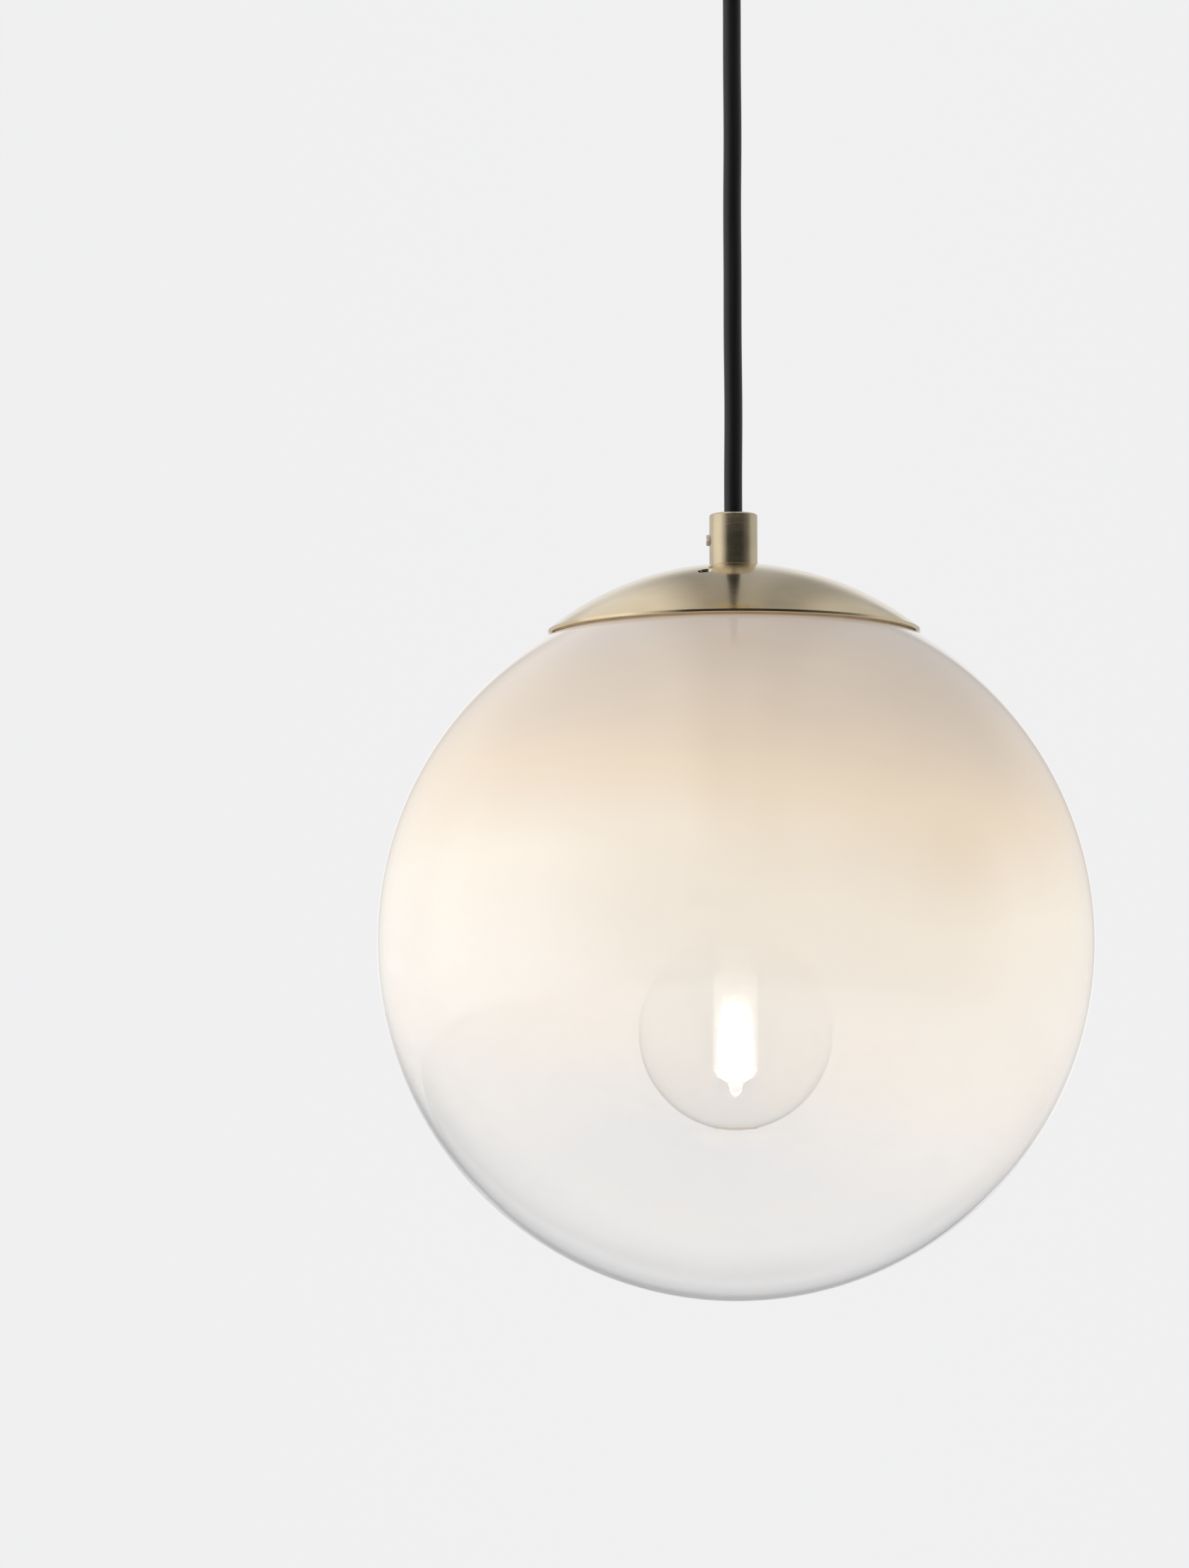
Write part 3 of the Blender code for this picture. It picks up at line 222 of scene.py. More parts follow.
def moulded(name, dark, light, roughness, grain=1800.0, depth=0.00003):
    """Moulded plastic, rubber or ceramic with a fine skin."""
    made = Shader(name)
    marks = made.noise(90.0, 4.0)
    made.mottle(marks, dark, light)
    made.link(made.spread(marks, roughness * 0.85, roughness * 1.2), "Roughness")
    made.bump(made.noise(grain, 3.0), depth)
    return made.material


def jacket():
    """Smooth black PVC, with the faint length-wise streaks that extrusion leaves."""
    made = Shader("cord_jacket", IOR=1.50)
    streaks = made.noise(700.0, 3.0, (1.0, 1.0, 0.03))
    made.mottle(streaks, (0.0055, 0.0042, 0.0046), (0.0085, 0.0066, 0.0074))
    made.link(made.spread(streaks, 0.36, 0.46), "Roughness")
    made.bump(made.noise(900.0, 3.0, (1.0, 1.0, 0.2)), 0.00003)
    return made.material


def core_sheath(name, colour, stripe=None):
    """The thin PVC round one core, in one colour or with a stripe."""
    made = Shader(name, Roughness=0.42)
    across = made.noise(240.0, 2.0, (1.0, 1.0, 0.1))
    made.mottle(across, colour, stripe or colour, (0.47, 0.53))
    made.bump(made.noise(1500.0, 2.0), 0.00002)
    return made.material


def nylon():
    """Translucent natural nylon."""
    made = Shader("natural_nylon", Base_Color=(0.90, 0.88, 0.82, 1.0), IOR=1.53, Transmission_Weight=0.15,
                  Subsurface_Weight=0.5, Subsurface_Scale=0.002)
    made.link(made.spread(made.noise(500.0), 0.22, 0.36), "Roughness")
    return made.material


OPAL_FADE = (-0.108, 0.024)         # heights about the middle where the opal starts and is full
OPAL_TILT = 0.14                    # how much further down the opal reaches towards +X
OPAL_CLOUD = 0.010                  # how far its edge wanders up and down
OPAL_STOP = 0.6                     # share of the lamplight that the full opal stops
OPAL_BODY = (
    (0.0, (0.985, 0.985, 0.985)),
    (0.30, (0.86, 0.85, 0.85)),
    (1.0, (0.57, 0.56, 0.56)),
)
OPAL_PAINTED_GLOW = (                       # painted glow: emission that stands in for the lamplight the opal scatters, from the bottom up; darkest at the top, where it paints the shade of the holder and dome
    (0.0, (0.36, 0.34, 0.31)),
    (0.42, (0.60, 0.55, 0.475)),
    (0.55, (0.64, 0.56, 0.44)),
    (0.70, (0.54, 0.41, 0.25)),
    (0.92, (0.21, 0.14, 0.08)),
    (1.0, (0.10, 0.07, 0.04)),
)


def blown_glass(name):
    """The globe's clear glass."""
    return Shader(name, Base_Color=(0.985, 0.985, 0.985, 1.0), IOR=1.50, Roughness=0.0,
                  Transmission_Weight=1.0, Coat_Roughness=0.0, Specular_IOR_Level=0.1)


def inner_glass():
    made = blown_glass("globe_glass_inner")
    made.clear_to_lamps()
    return made.material


def outer_glass():
    """Opal at the top, in a layer that fades away below the middle. A fine grain thins it out."""
    made = blown_glass("globe_glass_outer")
    where = made.node("TexCoord").outputs["Object"]
    axes = made.node("SeparateXYZ", {0: where}).outputs
    height = made.math("SUBTRACT", axes["Z"], GLOBE_Z)
    tilt = made.math("MULTIPLY", axes["X"], OPAL_TILT)
    cloud = made.spread(made.noise(9.0, 2.0), -OPAL_CLOUD, OPAL_CLOUD)
    level = made.math("ADD", made.math("ADD", height, tilt), cloud)
    even = made.ramp(level, 0.0, 1.0, *OPAL_FADE, smooth=True)
    grain = made.math("SUBTRACT", made.node("TexWhiteNoise", {"Vector": where}).outputs["Value"], 0.5)
    part = made.math("MULTIPLY", made.math("MULTIPLY", even, 2.0), made.math("SUBTRACT", 1.0, even))
    cover = made.math("ADD", even, made.math("MULTIPLY", grain, part))
    made.link(made.math("SUBTRACT", 1.0, cover), "Transmission Weight")
    made.link(made.colours(cover, OPAL_BODY), "Base Color")
    # Painted glow: emission by height stands in for the lamp's light in the opal, with painted shade at the
    # top under the holder and dome.
    glow = made.ramp(level, 0.0, 1.0, -GLOBE_RADIUS, GLOBE_RADIUS)
    made.link(made.colours(glow, OPAL_PAINTED_GLOW), "Emission Color")
    made.link(cover, "Emission Strength")
    made.link(cover, "Coat Weight")
    made.clear_to_lamps(made.math("SUBTRACT", 1.0, made.math("MULTIPLY", cover, OPAL_STOP)))
    return made.material


def clear_glass(name, tint, **values):
    """The lamp's glass and quartz."""
    made = Shader(name, Base_Color=(*tint, 1.0), IOR=1.47, Roughness=0.0, Transmission_Weight=1.0, **values)
    made.clear_to_lamps()
    return made.material


def glowing(name, colour, strength):
    """A surface that gives light, a little unevenly."""
    made = Shader(name, Base_Color=(*colour, 1.0), Emission_Color=(*colour, 1.0))
    made.link(made.spread(made.noise(400.0, 2.0), 0.9 * strength, 1.1 * strength), "Emission Strength")
    return made.material


POLISHED = brass("polished_brass", (0.73, 0.60, 0.385), (0.80, 0.66, 0.43), 0.14, 900.0, 0.000004)
BRUSHED = brass("brushed_brass", (0.57, 0.48, 0.32), (0.70, 0.59, 0.395), 0.21, 4000.0, 0.00004)
PLAIN = brass("plain_brass", (0.60, 0.45, 0.20), (0.70, 0.53, 0.26), 0.26, 3000.0, 0.00002)
ZINC = plain_metal("zinc_steel", (0.42, 0.43, 0.45), (0.62, 0.62, 0.60), 0.32)
JACKET = jacket()
BAKELITE = moulded("black_plastic", (0.012, 0.012, 0.013), (0.022, 0.021, 0.020), 0.34)
WHITE = moulded("white_plastic", (0.70, 0.69, 0.65), (0.78, 0.77, 0.74), 0.42)
NYLON = nylon()
SILICONE = moulded("silicone", (0.62, 0.60, 0.56), (0.72, 0.70, 0.66), 0.55)
CERAMIC = moulded("ceramic", (0.74, 0.71, 0.66), (0.84, 0.82, 0.78), 0.50, 1200.0, 0.00006)
OUTER_GLASS = outer_glass()
INNER_GLASS = inner_glass()
BULB_GLASS = clear_glass("bulb_glass", (0.99, 0.99, 0.99))
# The quartz carries a faint painted glow, emission that stands in for the filament's light within it.
QUARTZ = clear_glass("quartz", (1.0, 0.995, 0.985), Emission_Color=(1.0, 0.95, 0.86, 1.0),
                     Emission_Strength=0.20)
VITRITE = moulded("vitrite", (0.012, 0.012, 0.016), (0.020, 0.020, 0.026), 0.10)
LIT_QUARTZ = glowing("lit_quartz", (1.0, 0.93, 0.82), 9.0)
GILT = plain_metal("gilt_ring", (0.72, 0.52, 0.30), (0.84, 0.62, 0.38), 0.35)
CORE_COLOURS = {
    "live": core_sheath("core_brown", (0.10, 0.035, 0.018)),
    "neutral": core_sheath("core_blue", (0.02, 0.08, 0.34)),
    "earth": core_sheath("core_green_yellow", (0.04, 0.26, 0.03), (0.62, 0.50, 0.02)),
}


# ---------------------------------------------------------------- making meshes
def finish_mesh(shape, name, materials, angle=SHARP):
    """The object of a finished shape, shaded smooth up to an angle in degrees."""
    mesh = bpy.data.meshes.new(name)
    bmesh.ops.recalc_face_normals(shape, faces=shape.faces)
    shape.to_mesh(mesh)
    shape.free()
    for one in materials:
        mesh.materials.append(one)
    mesh.shade_smooth()
    mesh.set_sharp_from_angle(angle=math.radians(angle))
    obj = bpy.data.objects.new(name, mesh)
    bpy.context.scene.collection.objects.link(obj)
    return obj


def arc(radius, start, end, steps, centre=(0.0, 0.0)):
    """Points of an arc in the profile's plane, from start to end, measured from +R towards +Z."""
    return [
        (centre[0] + radius * math.cos(a), centre[1] + radius * math.sin(a))
        for a in (start + (end - start) * i / steps for i in range(steps + 1))
    ]


def bezier(p0, p1, p2, p3, steps):
    """Points of a cubic curve in the profile's plane."""
    return [
        tuple(
            (1 - t)**3 * a + 3 * t * (1 - t)**2 * b + 3 * t * t * (1 - t) * c + t**3 * d
            for a, b, c, d in zip(p0, p1, p2, p3)
        )
        for t in (i / steps for i in range(steps + 1))
    ]


def eased(profile, steps=4, closed=True):
    """A profile of (r, z, fillet) corners as (r, z) points, with each corner rounded to its fillet."""
    points = []
    count = len(profile)
    for i, (r, z, fillet) in enumerate(profile):
        here = Vector((r, z))
        at_end = not closed and i in (0, count - 1)
        if fillet <= 0.0 or at_end:
            points.append((r, z))
            continue
        before = Vector(profile[i - 1][:2]) - here
        after = Vector(profile[(i + 1) % count][:2]) - here
        reach = min(fillet, 0.45 * before.length, 0.45 * after.length)
        a = here + before.normalized() * reach
        b = here + after.normalized() * reach
        for k in range(steps + 1):
            t = k / steps
            at = a * (1 - t)**2 + here * 2 * t * (1 - t) + b * t * t
            points.append((at.x, at.y))
    return points


def ring_at(shape, r, z, sides, centre):
    """The vertices of one turn of a profile point, or the single one of a point on the axis."""
    if abs(r) < 1e-7:
        return [shape.verts.new(centre + Vector((0.0, 0.0, z)))]
    angles = (math.tau * i / sides for i in range(sides))
    return [shape.verts.new(centre + Vector((r * math.cos(a), r * math.sin(a), z))) for a in angles]


def bridge(shape, one, two, material=0):
    """The faces between two turns."""
    sides = max(len(one), len(two))
    for i in range(sides if sides > 1 else 0):
        j = (i + 1) % sides
        if len(one) == 1:
            face = shape.faces.new((one[0], two[j], two[i]))
        elif len(two) == 1:
            face = shape.faces.new((one[i], one[j], two[0]))
        else:
            face = shape.faces.new((one[i], one[j], two[j], two[i]))
        face.material_index = material


def turned(name, profile, sides, materials, height=0.0, closed=True, angle=SHARP):
    """A solid of revolution about Z, at a height. Profile points with no radius close it on the axis."""
    shape = bmesh.new()
    rings = [ring_at(shape, r, z, sides, Vector((0.0, 0.0, height))) for r, z in profile]
    pairs = list(zip(rings, rings[1:]))
    if closed and len(rings[0]) > 1 and len(rings[-1]) > 1:
        pairs.append((rings[-1], rings[0]))
    for one, two in pairs:
        bridge(shape, one, two)
    return finish_mesh(shape, name, materials, angle)


def tube(name, route, radius, sides, materials):
    """A round tube along a list of points, with flat ends."""
    shape = bmesh.new()
    rings = []
    up = Vector((0.0, 1.0, 0.0))
    for i, here in enumerate(route):
        along = (route[min(i + 1, len(route) - 1)] - route[max(i - 1, 0)]).normalized()
        side = along.cross(up).normalized()
        up = side.cross(along).normalized()
        rings.append([
            shape.verts.new(here + radius * (math.cos(a) * side + math.sin(a) * up))
            for a in (math.tau * k / sides for k in range(sides))
        ])
    for one, two in zip(rings, rings[1:]):
        bridge(shape, one, two)
    shape.faces.new(rings[0])
    shape.faces.new(rings[-1])
    return finish_mesh(shape, name, materials)


def block(name, size, at, materials, rounding):
    """A box with rounded edges."""
    shape = bmesh.new()
    bmesh.ops.create_cube(shape, size=1.0, matrix=Matrix.Translation(at) @ Matrix.Diagonal((*size, 1.0)))
    bmesh.ops.bevel(shape, geom=shape.edges[:], offset=rounding, segments=3, profile=0.6, affect="EDGES")
    return finish_mesh(shape, name, materials)


def cut(obj, tool):
    """Takes the tool's shape out of the piece and removes the tool."""
    step = obj.modifiers.new("Cut", "BOOLEAN")
    step.operation = "DIFFERENCE"
    step.object = tool
    graph = bpy.context.evaluated_depsgraph_get()
    mesh = bpy.data.meshes.new_from_object(obj.evaluated_get(graph))
    obj.modifiers.clear()
    obj.data = mesh
    mesh.shade_smooth()
    mesh.set_sharp_from_angle(angle=math.radians(SHARP))
    bpy.data.objects.remove(tool)
    return obj


def peg(radius, low, high, place):
    """A plain cylinder to cut with, in the frame of a matrix."""
    shape = bmesh.new()
    middle = Matrix.Translation((0.0, 0.0, (low + high) / 2))
    bmesh.ops.create_cone(shape, cap_ends=True, segments=SMALL_ROUND, radius1=radius, radius2=radius,
                          depth=high - low, matrix=place @ middle)
    return finish_mesh(shape, "peg", [])


def settle(obj, body, slot, *nodes):
    """The piece rides on a body and stands for its CAD nodes, which it hides; the slot is not used."""
    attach(obj, body)
    if nodes:
        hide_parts(*nodes)
    return obj


# ---------------------------------------------------------------- cord
CORD_FIRST = TOP_GRIP_LOW - 0.0005          # just under the canopy's grip, inside the end of the tail
CORD_SPLIT = CORD_FIRST - 0.052             # between the two bends
CORD_LAST = span("cord")[0]                 # inside the lower grip
FIRST_BEND = (TOP_GRIP_LOW - 0.0010, TOP_GRIP_LOW - 0.0150)
SECOND_BEND = (CORD_SPLIT - 0.0010, CORD_SPLIT - 0.0320)
WAVE = 0.00010                              # how far the jacket wanders off a straight line
ROUTE_STEP = 0.0025                         # between two points of a route


def cord_route(high, low):
    """Points straight down, with the slight waves of a cord that has been coiled."""
    count = max(15, round((high - low) / ROUTE_STEP))
    route = []
    for i in range(count + 1):
        z = high + (low - high) * i / count
        x = WAVE * math.sin(z / 0.021) + 0.6 * WAVE * math.sin(z / 0.0093 + 1.0)
        route.append(Vector((x, 0.5 * WAVE * math.sin(z / 0.017), z)))
    return route


def make_cord():
    """Two stretches, each of which stands in for a CAD node."""
    stretches = (
        ("cord_upper", CORD_FIRST, CORD_SPLIT, ("ceiling", "cord_top"), FIRST_BEND, "cord_link"),
        ("cord_lower", CORD_SPLIT, CORD_LAST, ("cord_top", "cord_run"), SECOND_BEND, "cord"),
    )
    for name, high, low, bodies, bend, node in stretches:
        route = cord_route(high, low)
        piece = tube(name, route, CORD_RADIUS, SMALL_ROUND, [JACKET])
        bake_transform(piece)
        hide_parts(node)


make_cord()


# ---------------------------------------------------------------- grips
TUBE_DEPTH = 0.0083                 # of the threaded tube in a grip
CLAMP_LEVEL = 0.0111                # of the clamp screw above the grip's threaded end
CLAMP_RADIUS = 0.00235
CLAMP_HOLE = CLAMP_RADIUS + CLEARANCE
CLAMP_STAND = 0.0013                # how far its head stands proud
SIDEWAYS = Matrix.Rotation(-math.pi / 2, 4, "Y")


def grip_mesh(name, materials):
    """A grip from its threaded end at z = 0 up to where the cord leaves."""
    top = GRIP_HIGH - GRIP_LOW
    profile = eased([
        (CORD_HOLE, top, 0.0004),
        (GRIP_RADIUS, top, 0.0009),
        (GRIP_RADIUS, 0.0, 0.0004),
        (TUBE_HOLE, 0.0, 0.0003),
        (TUBE_HOLE, TUBE_DEPTH, 0.0),
        (CORD_HOLE, TUBE_DEPTH, 0.0),
    ])
    return turned(name, profile, ROUND, materials)


def screw_mesh(name, materials, place):
    """The slotted nylon clamp screw, along its own Z."""
    high = GRIP_RADIUS + CLAMP_STAND
    profile = eased([
        (0.0, high, 0.0),
        (CLAMP_RADIUS, high, 0.0004),
        (CLAMP_RADIUS, CORD_HOLE, 0.0),
        (0.0, CORD_HOLE, 0.0),
    ], closed=False)
    screw = turned(name, profile, SMALL_ROUND, materials)
    slot = block("slot", (0.0008, 0.0070, 0.0014), (0.0, 0.0, high), [], 0.00015)
    cut(screw, slot)
    screw.data.transform(place)
    return screw


def make_grips():
    """The lower grip stands on its threaded end, and the canopy's one hangs from it."""
    grips = (
        ("cord_grip", "head", GRIP_LOW, 1),
        ("canopy_grip", "ceiling", TOP_GRIP_HIGH, -1),
    )
    for name, body, end, up in grips:
        grip = grip_mesh(name + "_turned", [BRUSHED])
        cut(grip, peg(CLAMP_HOLE, 0.0, 0.03, Matrix.Translation((0.0, 0.0, CLAMP_LEVEL)) @ SIDEWAYS))
        turn = 0.0 if up > 0 else math.pi
        grip.data.transform(Matrix.Translation((0.0, 0.0, end)) @ Matrix.Rotation(turn, 4, "X"))
        settle(grip, body, "brushed_brass", name)
        place = Matrix.Translation((0.0, 0.0, end + up * CLAMP_LEVEL)) @ SIDEWAYS
        settle(screw_mesh(name + "_clamp", [NYLON], place), body, "clear_nylon", name + "_screw")


make_grips()


# ---------------------------------------------------------------- dome and canopy
DOME_SKIRT = 0.0015                 # the straight part at the rim
VENT_RADIUS = 0.0032
VENT_CIRCLE = 0.043
VENT_COUNT = 4
VENT_START = math.radians(254.5)
CANOPY_SKIRT = 0.012
SIDE_HOLE = 0.0022                  # radius of the holes for the canopy's side screws
SIDE_HOLE_RISE = 0.0065             # from the canopy's open edge


def spun_profile(rim, rise, skirt, steps):
    """A sheet cap with its land at z = 0, a spherical shoulder and a short straight skirt."""
    above = ((rim**2 - LAND_RADIUS**2) / rise + rise) / 2
    radius = math.hypot(above, LAND_RADIUS)
    inner = radius - SHEET
    centre = (0.0, -above)
    foot = -rise - skirt
    lip = SHEET / 2
    bead = arc(lip, 0.0, -math.pi, 8, (rim - lip, foot + lip))
    return [
        (TUBE_HOLE, 0.0),
        (0.8 * LAND_RADIUS, 0.0),
        *arc(radius, math.acos(LAND_RADIUS / radius), math.acos(rim / radius), steps, centre),
        *bead,
        *arc(inner, math.acos((rim - SHEET) / inner), math.asin((above - SHEET) / inner), steps, centre),
        (TUBE_HOLE, -SHEET),
    ]


def make_dome():
    profile = spun_profile(DOME_RADIUS, DOME_HIGH - DOME_LOW - DOME_SKIRT, DOME_SKIRT, 48)
    dome = turned("dome_spun", profile, FINE, [POLISHED], DOME_HIGH)
    for i in range(VENT_COUNT):
        angle = VENT_START + i * math.tau / VENT_COUNT
        at = (VENT_CIRCLE * math.cos(angle), VENT_CIRCLE * math.sin(angle), DOME_HIGH)
        cut(dome, peg(VENT_RADIUS, -0.03, 0.03, Matrix.Translation(at)))
    settle(dome, "head", "polished_brass", "dome")


def make_canopy():
    """Made with its open edge down, as the dome, and turned over."""
    deep = CANOPY_HIGH - CANOPY_LOW
    profile = spun_profile(CANOPY_RADIUS, deep - CANOPY_SKIRT, CANOPY_SKIRT, 32)
    canopy = turned("canopy_spun", profile, FINE, [POLISHED])
    across = Matrix.Translation((0.0, 0.0, SIDE_HOLE_RISE - deep)) @ Matrix.Rotation(math.pi / 2, 4, "Y")
    cut(canopy, peg(SIDE_HOLE, -0.1, 0.1, across))
    canopy.data.transform(Matrix.Translation((0.0, 0.0, CANOPY_LOW)) @ Matrix.Rotation(math.pi, 4, "X"))
    settle(canopy, "ceiling", "polished_brass", "canopy")


make_dome()
make_canopy()


# ---------------------------------------------------------------- globe
INNER_RADIUS = 0.1490
INNER_SHIFT = Vector((0.0005, 0.0, 0.0006))     # blown glass settles thicker at the lower left
GLOBE_SIDES, GLOBE_STEPS = 256, 150
LIP_SHIFT = Vector((-0.0004, 0.0004))           # of the lip's crest, off the middle of the wall
EVEN_RINGS = 6                      # turns of the inner face next to the lip that don't shift


def make_globe():
    """The outer face from the mouth down, the inner face back up, and the fire-polished lip."""
    shape = bmesh.new()
    start = math.acos(MOUTH_RADIUS / GLOBE_RADIUS)
    inner_start = math.acos(MOUTH_RADIUS / INNER_RADIUS)
    outer = arc(GLOBE_RADIUS, start, -math.pi / 2, GLOBE_STEPS)
    inner = arc(INNER_RADIUS, -math.pi / 2, inner_start, GLOBE_STEPS)
    a, b = Vector(inner[-1]), Vector(outer[0])
    crest = (a + b) / 2 + LIP_SHIFT
    lip = [tuple(a.lerp(crest, 0.6)), tuple(crest), tuple(b.lerp(crest, 0.6))]
    middle = Vector((0.0, 0.0, GLOBE_Z))
    rings = []
    for k, (r, z) in enumerate(outer + inner + lip):
        shifts = GLOBE_STEPS < k < 2 * GLOBE_STEPS - EVEN_RINGS
        rings.append(ring_at(shape, r, z, GLOBE_SIDES, middle + INNER_SHIFT if shifts else middle))
    for k, (one, two) in enumerate(zip(rings, rings[1:] + rings[:1])):
        bridge(shape, one, two, 1 if GLOBE_STEPS < k < 2 * GLOBE_STEPS else 0)
    globe = finish_mesh(shape, "globe_blown", [OUTER_GLASS, INNER_GLASS], 60.0)
    settle(globe, "globe", "globe_glass", "glass_globe")


make_globe()


# ---------------------------------------------------------------- halogen lamp
NECK_RADIUS = 0.0112
NECK_INSIDE = 0.0115                # how far the neck goes on inside the cap
NECK_SHOWS = 0.001                  # its straight part below the cap
NECK_JOIN = math.radians(40)        # where it runs into the ball, measured from the ball's top
CAP_LENGTH = 0.0265
BULB_WALL = 0.0007
RING_RADII = (0.0088, 0.0096)       # of the gilt ring
RING_SHEET = 0.00008
RING_GAP = 0.0002                   # from the glass to it, at the middle of its width


def inset(points, wall):
    """The same outline moved a wall's thickness to its right-hand side."""
    moved = []
    for i, (r, z) in enumerate(points):
        before, after = points[max(i - 1, 0)], points[min(i + 1, len(points) - 1)]
        along = Vector((after[0] - before[0], after[1] - before[1])).normalized()
        moved.append((max(r + along.y * wall, 0.0), z - along.x * wall))
    return moved


def make_bulb_glass():
    """Heights are from the lamp's contact."""
    centre = BULB_Z - TIP_Z
    join_at = (BULB_RADIUS * math.sin(NECK_JOIN), centre + BULB_RADIUS * math.cos(NECK_JOIN))
    neck_end = -CAP_LENGTH - NECK_SHOWS
    pull = 0.45 * (neck_end - join_at[1])
    along = (-math.cos(NECK_JOIN), math.sin(NECK_JOIN))
    outline = [
        (NECK_RADIUS, -CAP_LENGTH + NECK_INSIDE),
        *bezier((NECK_RADIUS, neck_end), (NECK_RADIUS, neck_end - pull),
                (join_at[0] + along[0] * pull, join_at[1] + along[1] * pull), join_at, 20),
        *arc(BULB_RADIUS, math.pi / 2 - NECK_JOIN, -math.pi / 2, 64, (0.0, centre))[1:],
    ]
    inside = inset(outline, BULB_WALL)
    outline[-1] = (0.0, BULB_LOW - TIP_Z)
    inside[-1] = (0.0, BULB_LOW - TIP_Z + BULB_WALL)
    inside[0] = (inside[0][0], outline[0][1])
    bulb = turned("lamp_envelope", outline[::-1] + inside, 128, [BULB_GLASS], TIP_Z, angle=60.0)
    settle(bulb, "bulb", "bulb_glass", "bulb_glass")


def make_gilt_ring():
    """A plain gilt ring round the lamp's crown, where such lamps carry their print."""
    small, large = RING_RADII
    rise = BULB_RADIUS - math.sqrt(BULB_RADIUS**2 - ((small + large) / 2)**2)
    profile = [(small, 0.0), (large, 0.0), (large, RING_SHEET), (small, RING_SHEET)]
    settle(turned("lamp_ring", profile, ROUND, [GILT], BULB_LOW + rise - RING_GAP), "bulb",
           "plain_brass")


CAPSULE_LOW, CAPSULE_HIGH, CAPSULE_RADIUS = span("capsule")
CAPSULE_END = CAPSULE_LOW + 0.0090  # where its straight part ends and the drawn tip starts
CAPSULE_TOP = 0.0060                # radius of the flat at its upper end
CAPSULE_WALL = 0.0009
SHOULDER = 0.0022                   # rounding of its upper edge, and half that of its lower one
PINCH_THICKNESS, PINCH_ROUNDING = 0.0034, 0.0009
PINCH_BITE = 0.0005                 # how far the pinch reaches into the capsule
STEM_RADIUS = 0.0042                # of the mount's straight part
LEAD_RADIUS = 0.0005
LEAD_START, LEAD_END = 0.0020, 0.0042       # of the wires, off the axis at the stem and at the pinch


def make_capsule():
    """A quartz tube with a drawn tip at its lower end."""
    low, high, radius, end = CAPSULE_LOW, CAPSULE_HIGH, CAPSULE_RADIUS, CAPSULE_END
    inside = radius - CAPSULE_WALL
    outer = eased([
        (CAPSULE_TOP, high, 0.0), (radius, high, SHOULDER), (radius, end, 2 * SHOULDER),
        (0.0032, end - 0.0030, 0.0020), (0.0022, low + 0.0014, 0.0012), (0.0, low, 0.0),
    ], 8, closed=False)
    inner = eased([
        (0.0, end + CAPSULE_WALL, 0.0), (inside, end + CAPSULE_WALL, 2 * SHOULDER),
        (inside, high - CAPSULE_WALL, SHOULDER), (CAPSULE_TOP, high - CAPSULE_WALL, 0.0),
    ], 8, closed=False)
    capsule = turned("capsule_quartz", outer + inner, 64, [QUARTZ])
    settle(capsule, "bulb", "bulb_glass", "capsule")


def make_glow():
    """The filament and its glare, as one bright shape inside the capsule."""
    low, high = CAPSULE_END + 0.0006, CAPSULE_HIGH - 0.013
    wide, narrow = CAPSULE_RADIUS - 0.0013, CAPSULE_RADIUS - 0.0020
    glow = eased([
        (0.0, high, 0.0), (0.0050, high, 0.002), (wide, (low + high) / 2, 0.012), (narrow, low, 0.004),
        (0.0, low, 0.0),
    ], 8, closed=False)
    settle(turned("capsule_glow", glow, 48, [LIT_QUARTZ]), "bulb", "tungsten", "filament")


def make_pinch():
    """The flat seal that closes the capsule's upper end."""
    _, high, half = span("capsule_pinch")
    low = CAPSULE_HIGH - PINCH_BITE
    size = (2 * half, PINCH_THICKNESS, high - low)
    pinch = block("capsule_seal", size, (0.0, 0.0, (low + high) / 2), [QUARTZ], PINCH_ROUNDING)
    settle(pinch, "bulb", "bulb_glass", "capsule_pinch")


def make_mount():
    """The lamp's glass stem, flared where it meets the neck."""
    low, high, radius = span("bulb_mount")
    stem = eased([
        (0.0, high - 0.002, 0.0), (radius - 0.001, high, 0.001), (radius, high - 0.0012, 0.0006),
        (0.0055, high - 0.006, 0.003), (STEM_RADIUS, high - 0.011, 0.003), (STEM_RADIUS, low, 0.0012),
        (0.0, low, 0.0),
    ], 6, closed=False)
    settle(turned("lamp_mount", stem, 48, [BULB_GLASS]), "bulb", "bulb_glass", "bulb_mount")


def make_leads():
    """The two wires that carry the capsule, each in a soft S."""
    for i, side in enumerate((-1, 1), start=1):
        low, high, _ = span(f"lead_{i}")
        points = bezier((side * LEAD_START, high), (side * 0.0022, high - 0.0025),
                        (side * LEAD_END, low + 0.0030), (side * LEAD_END, low), 20)
        route = [Vector((x, 0.0, z)) for x, z in points]
        settle(tube(f"lamp_lead_{i}", route, LEAD_RADIUS, 16, [ZINC]), "bulb", "steel", f"lead_{i}")


make_bulb_glass()
make_gilt_ring()
make_capsule()
make_glow()
make_pinch()
make_mount()
make_leads()


# ---------------------------------------------------------------- lampholder and the lamp's cap
THREAD_PITCH = 0.0036
THREAD_RISE = 0.0007
THREAD_RUN_OUT = 0.0015             # over which the thread fades at its ends
THREAD_SIDES, THREAD_ROWS = 72, 12  # round it, and to a pitch
SHELL_SHEET, CAP_SHEET = 0.0006, 0.0005     # of the holder's screw shell and the lamp's cap
BODY_WALL = 0.0023                  # of the holder's body
BODY_LIP = 0.0015                   # height of the lip that closes in round its mouth
COVER_WALL = 0.002                  # of the holder's cap
COVER_SIDE, COVER_CONE = 0.012, 0.020       # heights of its straight side and of its cone's end
COVER_BOSS = 0.008                  # radius of the boss round its tube


